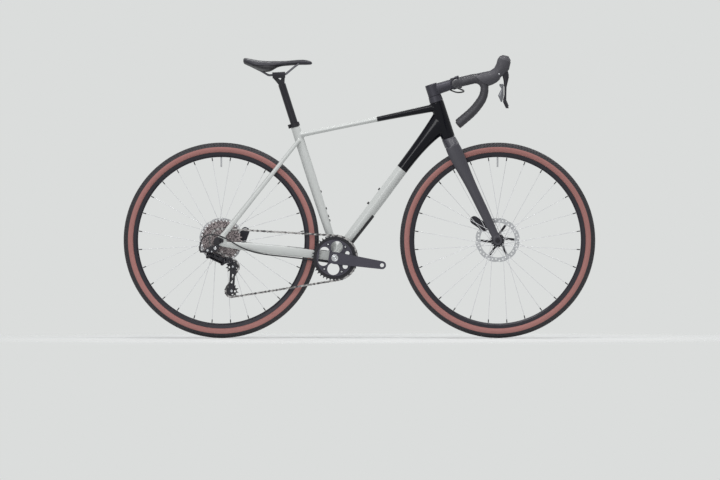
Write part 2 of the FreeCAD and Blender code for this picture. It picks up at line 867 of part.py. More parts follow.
def make_boss_bolts(tubes):
    bolts = []
    front = S.seat_tube_mid_depth / 2 + S.boss_bolt_height
    for index, height in enumerate((S.seat_boss_start, S.seat_boss_start + S.boss_spacing,
                                    S.mount_plug_start, S.mount_plug_start + S.mount_plug_spacing)):
        reach_share = min(1, SEAT_PLUG_SHARE + (1 - SEAT_PLUG_SHARE) * height / S.seat_tube_mid_height)
        length = front * reach_share
        shank = Part.makeCylinder(S.boss_bolt_r, length, on_seat(height), SEAT_AHEAD)
        form = feature("seat_boss_form_%d" % index, shank)
        bolts.append(cut("seat_boss_bolt_%d" % index, form, tubes.seat))
    for index in range(2):
        place = BRACKET + DOWN_TUBE_RUN * (S.boss_start + index * S.boss_spacing)
        length = S.down_tube_depth / 2 + S.down_tube_bow * BOSS_BOW_SHARE + S.boss_bolt_height
        shank = Part.makeCylinder(S.boss_bolt_r, length, place, DOWN_TUBE_TOP_SIDE)
        form = feature("down_boss_form_%d" % index, shank)
        bolts.append(cut("down_boss_bolt_%d" % index, form, tubes.down))
    node("bottle_boss_bolts", compound("boss_bolt_group", bolts))


SEAT_PLUG_SHARE = 0.7
BOSS_BOW_SHARE = 0.75


def make_guard(tubes):
    thick = feature("guard_form", loft(tube_rings(down_tube_stations(), -S.guard_thickness)))
    depth = S.down_tube_depth / 2 + S.guard_thickness
    centre = BRACKET + DOWN_TUBE_RUN * S.guard_start - DOWN_TUBE_TOP_SIDE * (depth - S.guard_depth / 2)
    window = box("guard_window", "guard_depth", "2 * down_tube_foot_width", "guard_end - guard_start",
                 facing(centre, DOWN_TUBE_RUN, DOWN_TUBE_TOP_SIDE))
    strip = common("guard_strip", thick, window)
    node("down_tube_guard", cut("guard", strip, tubes.down))


# Saddle and seatpost

POST_TOP_HEIGHT = S.seat_tube_length + S.seat_clamp_height + S.post_exposed
RAIL_CENTRE = on_seat(POST_TOP_HEIGHT + S.post_head_height)
SADDLE_NOSE_X = RAIL_CENTRE.x + S.saddle_nose_ahead
SADDLE_TOP_Z = RAIL_CENTRE.z + S.saddle_above_rail
# Back from the nose, top and bottom below the highest point, and half-rounded width, as shares of the
# saddle's length, height and width.
SADDLE_SHARES = (
    (0.01, 0.30, 0.46, 0.16),
    (0.065, 0.18, 0.50, 0.27),
    (0.18, 0.13, 0.51, 0.31),
    (0.36, 0.20, 0.56, 0.42),
    (0.51, 0.22, 0.70, 0.68),
    (0.64, 0.22, 1.00, 0.95),
    (0.82, 0.13, 0.77, 1.00),
    (0.935, 0.02, 0.53, 0.83),
    (0.99, 0.05, 0.32, 0.50),
)


def saddle_form():
    rings = []
    for back, top, bottom, width in SADDLE_SHARES:
        high = SADDLE_TOP_Z - top * S.saddle_height
        low = SADDLE_TOP_Z - bottom * S.saddle_height
        centre = Vector(SADDLE_NOSE_X - back * S.saddle_length, 0, (high + low) / 2)
        rings.append(oval(facing(centre, -X, Y), width * S.saddle_width, high - low))
    return loft(rings)


# Rail points: back from the nose and below the highest point, as shares of the saddle's length and height.
RAIL_SHARES = ((0.20, 0.40), (0.27, 0.66), (0.39, 1.17), (0.63, 1.24), (0.745, 0.90), (0.93, 0.45))
RAIL_BEND_SHARE = 0.06


def saddle_rail(side):
    points = []
    for back, down in RAIL_SHARES:
        points.append(Vector(SADDLE_NOSE_X - back * S.saddle_length, side * S.rail_half_spacing,
                             SADDLE_TOP_Z - down * S.saddle_height))
    bend = RAIL_BEND_SHARE * S.saddle_length
    return pipe(rounded_path(points, [bend] * (len(points) - 2)), S.rail_r)


def make_saddle():
    form = feature("saddle_form", saddle_form())
    split = box("saddle_split", "2 * saddle_length", "2 * saddle_width", "2 * saddle_height",
                Placement(Vector(RAIL_CENTRE.x, 0, SADDLE_TOP_Z - S.saddle_cover_depth), Rotation()))
    node("saddle_cover", common("saddle_upper", form, split))
    node("saddle_base", cut("saddle_lower", form, split))
    rails = []
    for side in (-1, 1):
        bar = feature("rail_form_%d" % (side + 1), saddle_rail(side))
        rails.append(cut("rail_%d" % (side + 1), bar, form))
    node("saddle_rails", compound("rail_pair", rails))
    return rails


def make_seatpost(rails):
    foot = on_seat(S.seat_tube_length - S.post_insertion)
    rail_run = rail_direction()
    rail_up = Vector(-rail_run.z, 0, rail_run.x)
    if rail_up.z < 0:
        rail_up = -rail_up
    cradle_foot = RAIL_CENTRE - rail_up * S.post_head_height
    in_frame = "post_insertion + seat_clamp_height"
    tube = cylinder("post_tube", "post_r", in_frame + " + post_exposed - post_yoke", along(foot, SEAT_UP))
    neck = foot + SEAT_UP * (S.post_insertion + S.seat_clamp_height + S.post_exposed - S.post_yoke)
    arms = []
    for index, share in enumerate(YOKE_SHARES):
        end = cradle_foot + rail_run * (share * S.post_head_length) + rail_up * S.post_yoke_end_r
        arm = stadium(neck, end, S.post_yoke_root_r, S.post_yoke_end_r).extrude(Y * S.post_yoke_width)
        arm.translate(-Y * (S.post_yoke_width / 2))
        arms.append(feature("post_yoke_%d" % index, arm))
    bore = cylinder("post_bore", "post_r - post_wall", in_frame + " + post_exposed / 2",
                    along(foot - SEAT_UP * S.overrun, SEAT_UP))
    cradle = box("post_cradle", "post_head_length", "post_head_width", "post_head_height",
                 facing(cradle_foot, rail_up, rail_run))
    post = cut("post_hollow", fuse("post_solid", [tube, cradle] + arms), bore)
    clamp = box("rail_clamp", "post_head_length", "post_head_width", "rail_clamp_height",
                facing(RAIL_CENTRE + rail_up * S.gap, rail_up, rail_run))
    for bar in rails:
        post = cut(post.Name + "_" + bar.Name, post, bar)
        clamp = cut(clamp.Name + "_" + bar.Name, clamp, bar)
    pieces = [clamp]
    for index, side in enumerate((-1, 1)):
        ahead = side * RAIL_BOLT_SHARE * S.post_head_length
        start = cradle_foot + rail_run * ahead - rail_up * S.stem_bolt_head
        bolt = cylinder("rail_bolt_%d" % index, "rail_bolt_r", "post_head_height + stem_bolt_head + gap",
                        along(start, rail_up))
        post = cut("post_bolt_hole_%d" % index, post, bolt)
        pieces.append(bolt)
    node("seatpost", post)
    node("saddle_clamp", compound("saddle_clamp_group", pieces))


RAIL_BOLT_SHARE = 0.36
YOKE_SHARES = (-0.38, 0.36)


def rail_direction():
    """Along the straight run of the rails, towards the nose."""
    (front, high), (back, low) = RAIL_SHARES[2:4]
    run = Vector((back - front) * S.saddle_length, 0, (low - high) * S.saddle_height)
    return run.normalize()


# Fork, stem and handlebar

LEG_TOP_SHARE = 0.07
LEG_PLACE_SHARES = (0, 0.1, 0.3, 0.55, 0.84, 1)
CROWN_MID_SHARE = 0.45


def fork_leg(side):
    top = on_head(S.crown_height - S.gap - S.crown_drop * LEG_TOP_SHARE) + Y * S.leg_top_y
    top = top + (FRONT_AXLE - top) * LEG_TOP_SHARE
    end_y = S.front_spacing / 2 + S.fork_end_thickness / 2
    end = FRONT_AXLE + Y * end_y
    top.y = S.leg_top_y
    widths = (S.leg_top_width, S.leg_top_width, S.leg_mid_width, S.leg_mid_width, S.leg_low_width,
              S.fork_end_thickness)
    depths = (S.leg_top_depth, S.leg_shoulder_depth, S.leg_upper_depth, S.leg_mid_depth, S.leg_low_depth,
              S.leg_end_depth)
    stations = []
    for share, width, depth in zip(LEG_PLACE_SHARES, widths, depths):
        stations.append((top + (end - top) * share, width, depth))
    return stay_loft(stations, side)


def make_fork():
    def crown_ring(fall, width, depth):
        ahead = HEAD_AHEAD * (S.fork_rake * fall / S.crown_height)
        return oval(facing(on_head(S.crown_height - S.gap - fall) + ahead, -HEAD_UP, Y), width, depth)

    neck = 2 * S.crown_neck_r
    middle = (neck + S.crown_width) / 2
    pieces = [feature("fork_crown", loft([
        crown_ring(0, neck, neck),
        crown_ring(S.crown_drop * CROWN_MID_SHARE, middle, (neck + S.crown_depth) / 2),
        crown_ring(S.crown_drop, S.crown_width, S.crown_depth),
    ]))]
    holes = []
    for side, word in ((-1, "right"), (1, "left")):
        pieces.append(feature("fork_leg_" + word, fork_leg(side)))
        foot = FRONT_AXLE + Y * (side * S.front_spacing / 2)
        pieces.append(cylinder("fork_end_" + word, "fork_end_r", "fork_end_thickness", along(foot, Y * side)))
        holes.append(cylinder("fork_hole_" + word, "axle_r", "fork_end_thickness + 2 * overrun",
                              along(foot - Y * (side * S.overrun), Y * side)))
        holes.append(cylinder("fork_hub_room_" + word, "fork_end_r + overrun", "overrun",
                              along(foot, -Y * side)))
    solid = fuse("fork_solid", pieces)
    for index, hole in enumerate(holes):
        solid = cut("fork_cut_%d" % index, solid, hole)
    node("fork", solid)
    return solid


def make_axle(label, centre, spacing, thickness):
    """A through axle between the outer faces of two fork ends or dropouts, with a head on the drive side."""
    half = spacing + " / 2 + " + thickness
    node(label, profile_body(label + "_body", [
        ("0", "0 - " + spacing + " / 2 - " + thickness + " - axle_head"),
        ("axle_head_r", "0 - " + spacing + " / 2 - " + thickness + " - axle_head"),
        ("axle_head_r", "0 - " + spacing + " / 2 - " + thickness),
        ("axle_r", "0 - " + spacing + " / 2 - " + thickness),
        ("axle_r", half),
        ("0", half),
    ], along(centre, Y)))


def make_steerer_stack():
    foot = on_head(S.crown_height - S.gap)
    node("steerer_tube", profile_body("steerer_body", [
        ("steerer_r - steerer_wall", "0"),
        ("steerer_r", "0"),
        ("steerer_r", "gap + head_tube_length + gap + spacer_height + stem_height"),
        ("steerer_r - steerer_wall", "gap + head_tube_length + gap + spacer_height + stem_height"),
    ], along(foot, HEAD_UP)))
    spacer = profile_body("spacer_body", [
        ("steerer_r", "0"),
        ("head_tube_r", "0"),
        ("spacer_r", "spacer_height"),
        ("steerer_r", "spacer_height"),
    ], along(on_head(HEAD_TOP_HEIGHT + S.gap), HEAD_UP))
    cap = profile_body("top_cap_body", [
        ("0", "0"),
        ("stem_clamp_r", "0"),
        ("stem_clamp_r - steerer_wall", "top_cap_height"),
        ("0", "top_cap_height"),
    ], along(on_head(STEM_FOOT_HEIGHT + S.stem_height), HEAD_UP))
    node("headset_stack", compound("headset_stack_pair", [spacer, cap]))


def make_stem():
    foot = on_head(STEM_FOOT_HEIGHT)
    middle = on_head(STEM_FOOT_HEIGHT + S.stem_height / 2)
    clamp = cylinder("stem_clamp", "stem_clamp_r", "stem_height", along(foot, HEAD_UP))
    start = oval(facing(middle, HEAD_AHEAD, Y), S.stem_width, S.stem_height)
    end = oval(facing(BAR_CENTRE, HEAD_AHEAD, Y), S.stem_width, S.stem_depth)
    arm = feature("stem_arm", loft([start, end]))
    outer = "bar_clamp_r + faceplate_thickness"
    side = BAR_CENTRE - Y * S.faceplate_half_width
    back = cylinder("stem_bar_seat", outer, "2 * faceplate_half_width", along(side, Y))
    solid = fuse("stem_solid", [clamp, arm, back])
    bore = cylinder("stem_bore", "steerer_r", "stem_height + 2 * overrun",
                    along(foot - HEAD_UP * S.overrun, HEAD_UP))
    bar = cylinder("stem_bar_bore", "bar_clamp_r", "4 * faceplate_half_width",
                   along(BAR_CENTRE - Y * (2 * S.faceplate_half_width), Y))
    front = box("stem_front", "4 * faceplate_half_width", "4 * stem_height", "stem_length",
                facing(BAR_CENTRE, HEAD_AHEAD, Y))
    for tool in (bore, bar, front):
        solid = cut("stem_less_" + tool.Name, solid, tool)
    cap = cylinder("faceplate_form", outer, "2 * faceplate_half_width", along(side, Y))
    cap = cut("faceplate_bored", cap, bar)
    window = box("faceplate_window", "4 * faceplate_half_width", "4 * stem_height", "stem_length",
                 facing(BAR_CENTRE + HEAD_AHEAD * S.faceplate_split, HEAD_AHEAD, Y))
    cap = common("faceplate_front", cap, window)
    bolts = []
    radius = S.bar_clamp_r + S.stem_bolt_r + S.gap
    for index, (out, up) in enumerate(((-1, -1), (-1, 1), (1, -1), (1, 1))):
        place = BAR_CENTRE + Y * (out * FACEPLATE_BOLT_SHARE * S.faceplate_half_width)
        place = place + HEAD_UP * (up * radius)
        lug_r = S.stem_bolt_head_r
        lug = Part.makeCylinder(lug_r, S.stem_bolt_lug, place, HEAD_AHEAD)
        lug = feature("faceplate_lug_%d" % index, lug)
        lug = common("faceplate_lug_front_%d" % index, lug, window)
        cap = fuse("faceplate_with_lug_%d" % index, [cap, cut("faceplate_lug_bored_%d" % index, lug, bar)])
        shank = Part.makeCylinder(S.stem_bolt_r, S.stem_bolt_lug + S.stem_bolt_reach,
                                  place - HEAD_AHEAD * S.stem_bolt_reach, HEAD_AHEAD)
        head = Part.makeCylinder(S.stem_bolt_head_r, S.stem_bolt_head,
                                 place + HEAD_AHEAD * S.stem_bolt_lug, HEAD_AHEAD)
        bolt = feature("stem_bolt_%d" % index, shank.fuse(head))
        bolt = cut("stem_bolt_at_bar_%d" % index, bolt, bar)
        cap = cut("faceplate_hole_%d" % index, cap, bolt)
        solid = cut("stem_hole_%d" % index, solid, bolt)
        bolts.append(bolt)
    node("stem", solid)
    node("stem_faceplate", cap)
    node("stem_bolts", compound("stem_bolt_group", bolts))
    return solid


FACEPLATE_BOLT_SHARE = 0.7


def bar_half_points():
    """Corners of the right half of the bar, from the middle to the open end."""
    out = -S.bar_half_width
    drop_y = out - S.bar_flare
    front_share = S.bar_front_fall / S.bar_drop
    hook_share = S.bar_hook_fall / S.bar_drop
    return [
        BAR_CENTRE + Vector(0, out, 0),
        BAR_CENTRE + Vector(S.bar_reach, out, S.bar_ramp_rise),
        BAR_CENTRE + Vector(S.bar_reach, out - S.bar_flare * front_share, -S.bar_front_fall),
        BAR_CENTRE + Vector(S.bar_hook_ahead, out - S.bar_flare * hook_share, -S.bar_hook_fall),
        BAR_CENTRE + Vector(S.bar_end_ahead, drop_y, -S.bar_drop),
    ]


def bar_radii():
    return [S.bar_side_bend_r, S.bar_front_bend_r, S.bar_hook_bend_r, S.bar_lower_bend_r]


def flip(point):
    return Vector(point.x, -point.y, point.z)


def make_handlebar():
    half = bar_half_points()
    points = [flip(point) for point in reversed(half)] + half
    radii = bar_radii()[::-1] + bar_radii()
    path = rounded_path(points, radii)
    bar = feature("bar_form", pipe(path, S.bar_r))
    grip = cylinder("bar_clamp_zone", "bar_clamp_r", "2 * bar_clamp_half_width",
                    along(BAR_CENTRE - Y * S.bar_clamp_half_width, Y))
    hollow = feature("bar_hollow", pipe(path, S.bar_r - S.bar_wall))
    node("handlebar", cut("bar", fuse("bar_solid", [bar, grip]), hollow))

    start = BAR_CENTRE - Y * S.tape_start
    half_path = rounded_path([start] + half, bar_radii())
    wrap = pipe(half_path, S.bar_r + S.tape_thickness)
    tape = wrap.cut(pipe(half_path, S.bar_r))
    heading = (half[-1] - half[-2]).normalize()
    disc = Part.makeCylinder(S.plug_r, S.plug_thickness, half[-1], heading)
    stem = Part.makeCylinder(S.bar_r - S.bar_wall, S.plug_stem, half[-1], -heading)
    plug = disc.fuse(stem)
    node("bar_tape", compound("bar_tape_pair", [
        feature("bar_tape_right", tape), feature("bar_tape_left", mirrored(tape)),
        feature("plug_right", plug), feature("plug_left", mirrored(plug))]))
    return wrap


# Hood sections: upper and lower point ahead of and above the bar's centre, as shares of the hood's reach and
# rise, and the width as a share of the hood's width.
HOOD_SHARES = (
    (0.33, 0.29, 0.56, -0.10, 0.96),
    (0.48, 0.36, 0.66, -0.03, 1.00),
    (0.62, 0.42, 0.74, 0.06, 0.96),
    (0.69, 0.52, 0.80, 0.18, 0.92),
    (0.73, 0.68, 0.87, 0.30, 0.92),
    (0.75, 0.84, 0.96, 0.53, 0.90),
    (0.79, 0.95, 0.99, 0.80, 0.76),
    (0.85, 1.00, 0.95, 0.95, 0.40),
)
# Lever sections: rear and front point, ahead of and above the bar's centre, as shares of the lever's reach
# and fall, and the width as a share of the lever's width.
LEVER_SHARES = (
    (0.835, 0.39, 0.945, 0.44, 1.00),
    (0.86, 0.15, 0.96, 0.27, 1.00),
    (0.876, -0.16, 0.918, -0.14, 0.92),
    (0.876, -0.53, 0.914, -0.52, 0.88),
    (0.85, -0.74, 0.913, -0.74, 0.92),
    (0.905, -1.00, 0.96, -1.00, 0.80),
)
PADDLE_SHARES = (
    (0.79, -0.08, 0.862, -0.08, 0.80),
    (0.824, -0.20, 0.863, -0.20, 0.90),
    (0.763, -0.48, 0.864, -0.48, 1.00),
    (0.814, -0.74, 0.836, -0.74, 0.70),
)


def blade(shares, reach, rise, width, side_y):
    """A blade through ovals that span pairs of points in the bike's plane, at the lateral place given."""
    rings = []
    for ahead, up, far_ahead, far_up, part in shares:
        near = BAR_CENTRE + Vector(ahead * reach, side_y, up * rise)
        far = BAR_CENTRE + Vector(far_ahead * reach, side_y, far_up * rise)
        across = far - near
        normal = across.cross(Y)
        place = facing((near + far) / 2, normal.normalize(), Y)
        rings.append(oval(place, part * width, across.Length))
    return Part.makeLoft(rings, True, True)


HOOD_Y = -(S.bar_half_width + S.bar_flare * S.bar_front_fall / S.bar_drop / 2)
LEVER_PIVOT = BAR_CENTRE + Vector(S.lever_pivot_ahead, HOOD_Y, S.lever_pivot_rise)


def make_levers(wrap):
    hood = blade(HOOD_SHARES, S.hood_reach, S.hood_rise, S.hood_width, HOOD_Y)
    hood = hood.cut(wrap)
    start = LEVER_PIVOT - Y * (S.lever_slot_width / 2)
    hood = hood.cut(Part.makeCylinder(S.lever_slot_r, S.lever_slot_width, start, Y))
    ahead, up, far_ahead, far_up, part = LEVER_SHARES[0]
    root = BAR_CENTRE + Vector(
        (ahead + far_ahead) / 2 * S.lever_reach, HOOD_Y, (up + far_up) / 2 * S.lever_fall)
    for share in LEVER_TURN_SHARES:
        room = stadium(LEVER_PIVOT, root, S.lever_slot_r, S.lever_root_r + S.lever_room)
        room = room.extrude(Y * S.lever_slot_width)
        room.translate(-Y * (S.lever_slot_width / 2))
        room.rotate(LEVER_PIVOT, Y, share * S.lever_travel)
        hood = hood.cut(room)
    pin_half = S.hood_width * PIVOT_PIN_SHARE
    start = LEVER_PIVOT - Y * pin_half
    hood = hood.cut(Part.makeCylinder(S.lever_pivot_r + S.running, 2 * pin_half, start, Y))
    hood = largest_solid(hood)
    node("lever_hoods", compound("hood_pair", [
        feature("hood_right", hood), feature("hood_left", mirrored(hood))]))

    lever = blade(LEVER_SHARES, S.lever_reach, S.lever_fall, S.lever_width, HOOD_Y)
    ear = stadium(LEVER_PIVOT, root, S.lever_barrel_r, S.lever_root_r).extrude(Y * S.lever_width)
    ear.translate(-Y * (S.lever_width / 2))
    pin = Part.makeCylinder(S.lever_pivot_r, 2 * pin_half, start, Y)
    lever = lever.fuse([ear, pin])
    paddle_pin_start = PADDLE_PIVOT + X * S.paddle_pin_reach
    paddle_pin = Part.makeCylinder(S.paddle_pin_r, S.paddle_pin_reach + S.paddle_barrel, paddle_pin_start, -X)
    node("brake_lever_right", feature("lever_right", lever.fuse(paddle_pin)))
    node("brake_lever_left", feature("lever_left", mirrored(lever)))

    paddle = blade(PADDLE_SHARES, S.lever_reach, S.lever_fall, S.paddle_width, HOOD_Y)
    barrel = Part.makeCylinder(S.paddle_barrel_r, S.paddle_barrel, PADDLE_PIVOT, -X)
    hole = Part.makeCylinder(S.paddle_pin_r + S.running, S.paddle_barrel + 2 * S.overrun,
                             PADDLE_PIVOT + X * S.overrun, -X)
    node("shift_paddle", feature("paddle", paddle.fuse(barrel).cut(hole)))


PIVOT_PIN_SHARE = 0.4
LEVER_TURN_SHARES = (0, 0.5, 1)
PADDLE_PIVOT = BAR_CENTRE + Vector(S.paddle_ahead, HOOD_Y, -S.paddle_fall)


def largest_solid(shape):
    return max(shape.Solids, key=lambda solid: solid.Volume)


# Hose route from the tape's inner end, forward and down, and back under the stem: ahead of, beside and
# above the bar's centre, as shares of the hose's own reach, spread and fall.
HOSE_SHARES = ((0.14, 1.00, -0.49), (0.59, 0.86, -0.66), (0.93, 0.66, -0.77), (1.00, 0.45, -0.89),
               (0.69, 0.26, -0.97), (0.17, 0.16, -1.00), (-0.31, 0.12, -0.89), (-0.76, 0.10, -0.71))
HOSE_BEND_SHARE = 0.45


def cord_path(points):
    """A cord's path, each arc as large as its two runs allow. The radii are printed."""
    radii = []
    for before, corner, after in zip(points, points[1:], points[2:]):
        arrive = corner - before
        leave = after - corner
        half_turn = arrive.getAngle(leave) / 2
        radii.append(HOSE_BEND_SHARE * min(arrive.Length, leave.Length) / math.tan(half_turn))
    print("cord radii", [round(radius, 1) for radius in radii])
    return rounded_path(points, radii)


def make_control_cables(stem):
    hoses = []
    for side, word in ((-1, "right"), (1, "left")):
        points = []
        for ahead, out, up in HOSE_SHARES:
            offset = Vector(ahead * S.hose_ahead, side * out * S.hose_out, up * S.hose_fall)
            points.append(BAR_CENTRE + offset)
        hose = feature("hose_form_" + word, pipe(cord_path(points), S.hose_r))
        hoses.append(cut("hose_" + word, hose, stem))
    node("control_cables", compound("hose_pair", hoses))


# Wheels

TYRE_EDGE_ANGLE = 125.0
WHEEL_TURN = 360


def turned(points, centre, angle):
    """A solid of revolution about the lateral axis from straight edges through (radius, lateral) points."""
    corners = [centre + Vector(0, side, out) for out, side in points]
    face = Part.Face(Part.makePolygon(corners + corners[:1]))
    return face.revolve(centre, Y, angle)


def tyre_shape(centre):
    crown = S.tyre_r - S.tyre_half_width
    inner = S.tyre_half_width - S.tyre_wall
    lean = math.radians(TYRE_EDGE_ANGLE)

    def at(out, side):
        return centre + Vector(0, side, out)

    def edge(radius, side):
        return at(crown + radius * math.cos(lean), side * radius * math.sin(lean))

    top = S.rim_outer_r + S.gap
    bead = S.rim_half_width - S.rim_flange
    heel = bead - S.bead_thickness
    right = [edge(S.tyre_half_width, -1), at(top, -bead), at(S.rim_seat_r, -bead), at(S.rim_seat_r, -heel),
             at(top, -heel), edge(inner, -1)]
    left = [edge(S.tyre_half_width, 1), at(top, bead), at(S.rim_seat_r, bead), at(S.rim_seat_r, heel),
            at(top, heel), edge(inner, 1)]
    edges = [Part.Arc(right[0], at(S.tyre_r, 0), left[0]).toShape()]
    for first, last in zip(left, left[1:]):
        edges.append(Part.LineSegment(first, last).toShape())
    edges.append(Part.Arc(left[-1], at(crown + inner, 0), right[-1]).toShape())
    for first, last in zip(right[::-1], right[-2::-1]):
        edges.append(Part.LineSegment(first, last).toShape())
    return Part.Face(Part.Wire(edges)).revolve(centre, Y, WHEEL_TURN)


def rim_shape(centre):
    half = [
        (S.rim_inner_r, S.rim_bed_half_width),
        (S.rim_shoulder_r, S.rim_shoulder_half_width),
        (S.rim_outer_r, S.rim_half_width),
        (S.rim_outer_r, S.rim_half_width - S.rim_flange),
        (S.rim_seat_r, S.rim_half_width - S.rim_flange),
        (S.rim_seat_r, S.rim_bed_half_width),
        (S.rim_well_r, S.rim_well_half_width),
    ]
    hoop = turned(half + [(out, -side) for out, side in reversed(half)], centre, WHEEL_TURN)
    # The valve stem at the top and, in the well opposite it, the joint sleeve that balances it.
    start = centre + Z * S.rim_well_r
    valve = Part.makeCylinder(S.valve_r, S.rim_well_r - S.rim_inner_r + S.valve_length, start, -Z)
    moment = math.pi * S.valve_r ** 2 * S.valve_length * (S.rim_inner_r - S.valve_length / 2)
    sleeve_top = S.rim_well_r + S.sleeve_thickness
    sleeve_half = S.rim_well_half_width - S.gap
    section = 2 * sleeve_half * S.sleeve_thickness
    spread = math.degrees(moment / (section * (S.rim_well_r + S.sleeve_thickness / 2) ** 2))
    sleeve = turned([(S.rim_well_r - S.gap, -sleeve_half), (sleeve_top, -sleeve_half),
                     (sleeve_top, sleeve_half), (S.rim_well_r - S.gap, sleeve_half)], centre, spread)
    sleeve.rotate(centre, Y, WHEEL_TURN / 2 - spread / 2)
    return hoop.fuse([valve, sleeve])


def wheel_direction(angle):
    return Vector(math.sin(angle), 0, math.cos(angle))


def spoke_shapes(centre, flange_right, flange_left):
    """Laced spokes with their nipples, and the same bars without them, which pass through the flanges."""
    spokes = []
    bars = []
    step = 2 * math.pi / S.spoke_count
    reach = S.flange_thickness / 2 + S.spoke_r + S.running
    for index in range(int(S.spoke_count)):
        side = -1 if index % 2 else 1
        turn_side = 1 if (index // 2) % 2 else -1
        flange_y = flange_left if side > 0 else -flange_right
        rim_angle = (index + 0.5) * step
        hub_angle = rim_angle + turn_side * S.spoke_cross * 2 * step
        rim_end = centre + wheel_direction(rim_angle) * S.rim_inner_r + Y * (side * S.spoke_rim_y)
        hub_end = centre + wheel_direction(hub_angle) * S.flange_hole_r + Y * (flange_y + turn_side * reach)
        run = (hub_end - rim_end).normalize()
        length = (hub_end - rim_end).Length
        bar = Part.makeCylinder(S.spoke_r, length - S.nipple_length, rim_end + run * S.nipple_length, run)
        nipple_start = rim_end + run * (S.nipple_r / 2)
        spokes.append(Part.makeCylinder(S.nipple_r, S.nipple_length - S.nipple_r / 2, nipple_start, run))
        elbow_start = hub_end + Y * (turn_side * S.elbow_overhang)
        elbow = Part.makeCylinder(S.elbow_r, S.elbow_overhang + reach + S.flange_thickness, elbow_start,
                                  -Y * turn_side)
        spokes.append(bar.fuse(elbow))
        bars.append(spokes[-1])
    return spokes, bars


def rotor_shape(centre, lateral):
    """A vented, wavy brake ring on a six-armed spider."""
    start = centre + Y * (lateral - S.rotor_thickness / 2)

    def disc(radius, place):
        return Part.makeCylinder(radius, S.rotor_thickness, place, Y)

    ring = disc(S.rotor_r, start).cut(disc(S.rotor_ring_inner_r, start))
    middle = (S.rotor_r + S.rotor_ring_inner_r) / 2
    count = int(2 * S.rotor_arm_count)
    bites = []
    for index in range(count):
        out = wheel_direction(2 * math.pi * index / count)
        bites.append(disc(S.rotor_hub_r, start + out * (S.rotor_r + S.rotor_hub_r - S.rotor_wave)))
    for index in range(3 * count):
        out = wheel_direction(2 * math.pi * (index + 0.5) / (3 * count))
        shift = S.rotor_hole_r * (index % 3 - 1)
        bites.append(disc(S.rotor_hole_r, start + out * (middle + shift)))
    ring = ring.cut(bites)
    arms = [disc(S.rotor_hub_r, start)]
    for index in range(int(S.rotor_arm_count)):
        angle = 2 * math.pi * index / S.rotor_arm_count
        inner = wheel_direction(angle) * S.rotor_mount_r
        outer = wheel_direction(angle + ROTOR_ARM_TWIST) * (S.rotor_ring_inner_r + S.rotor_wave)
        arm = stadium(start + inner, start + outer, S.rotor_arm_width / 2, S.rotor_arm_width / 2 - S.gap)
        arms.append(arm.extrude(Y * S.rotor_thickness))
    return ring.fuse(arms).cut(disc(S.rotor_mount_r, start))


ROTOR_ARM_TWIST = 0.5


def make_hub(word, centre, bars, points):
    hub = profile_body(word + "_hub_body", points, along(centre, Y))
    holes = feature(word + "_spoke_holes", Part.makeCompound(bars))
    node(word + "_hub", cut(word + "_hub_drilled", hub, holes))


def make_wheel(word, centre, flange_right, flange_left, rotor_y, hub_points):
    node(word + "_tyre", feature(word + "_tyre_form", tyre_shape(centre)))
    node(word + "_rim", feature(word + "_rim_form", rim_shape(centre)))
    spokes, bars = spoke_shapes(centre, flange_right, flange_left)
    node(word + "_spokes", feature(word + "_spoke_set", Part.makeCompound(spokes)))
    make_hub(word, centre, bars, hub_points)
    node(word + "_rotor", feature(word + "_rotor_form", rotor_shape(centre, rotor_y)))


def flange(lateral, near, far):
    """Profile points of one spoke flange, from the near to the far side."""
    low = lateral + " - flange_thickness / 2"
    high = lateral + " + flange_thickness / 2"
    return [(near, low), ("flange_r", low), ("flange_r", high), (far, high)]


def make_wheels():
    end = "front_spacing / 2 - gap"
    face = "front_rotor_y + rotor_thickness"
    outer = "0 - front_spacing / 2 + gap"
    front = [("axle_r + running", outer), ("hub_cap_r", outer)]
    front += flange("0 - front_flange_y", "hub_cap_r", "hub_shell_r")
    front += flange("front_flange_y", "hub_shell_r", "rotor_mount_r")
    front += [("rotor_mount_r", face), ("hub_cap_r", face), ("hub_cap_r", end), ("axle_r + running", end)]
    make_wheel("front", FRONT_AXLE, S.front_flange_y, S.front_flange_y, S.front_rotor_y, front)
    start = "0 - rear_flange_right_y - flange_thickness / 2 - running"
    end = "rear_spacing / 2 - gap"
    face = "rear_rotor_y + rotor_thickness"
    rear = [("axle_r + running", start), ("freehub_r", start)]
    rear += flange("0 - rear_flange_right_y", "freehub_r", "hub_shell_r")
    rear += flange("rear_flange_left_y", "hub_shell_r", "rotor_mount_r")
    rear += [("rotor_mount_r", face), ("hub_cap_r", face), ("hub_cap_r", end), ("axle_r + running", end)]
    make_wheel("rear", REAR_AXLE, S.rear_flange_right_y, S.rear_flange_left_y, S.rear_rotor_y, rear)


def caliper(label, axle, rotor_y, first, second, radius, outward, holder):
    """A caliper over the rotor's edge, with its two pads, shaped to the tube that holds it."""
    inner = rotor_y - S.caliper_half_width
    form = stadium(axle + first, axle + second, radius, radius).extrude(Y * (S.caliper_half_width + outward))
    form.translate(Y * inner)
    centre = axle + Y * rotor_y
    slot_start = centre - Y * (S.caliper_slot / 2)
    slot = Part.makeCylinder(S.rotor_r + S.caliper_slot / 2, S.caliper_slot, slot_start, Y)
    form = form.cut(slot)
    pads = []
    middle = axle + (first + second) / 2
    radial = (middle - axle).normalize()
    place = axle + radial * ((S.rotor_r + S.rotor_ring_inner_r) / 2)
    for side in (-1, 1):
        near = S.rotor_thickness / 2 + S.caliper_pad_gap
        start = place + Y * (rotor_y + side * near)
        reach = S.caliper_slot / 2 - near + S.caliper_pad
        pads.append(Part.makeCylinder(S.caliper_pad_r, reach, start, Y * side))
    solid = feature(label + "_form", form.fuse(pads))
    node(label, cut(label + "_at_holder", solid, holder))


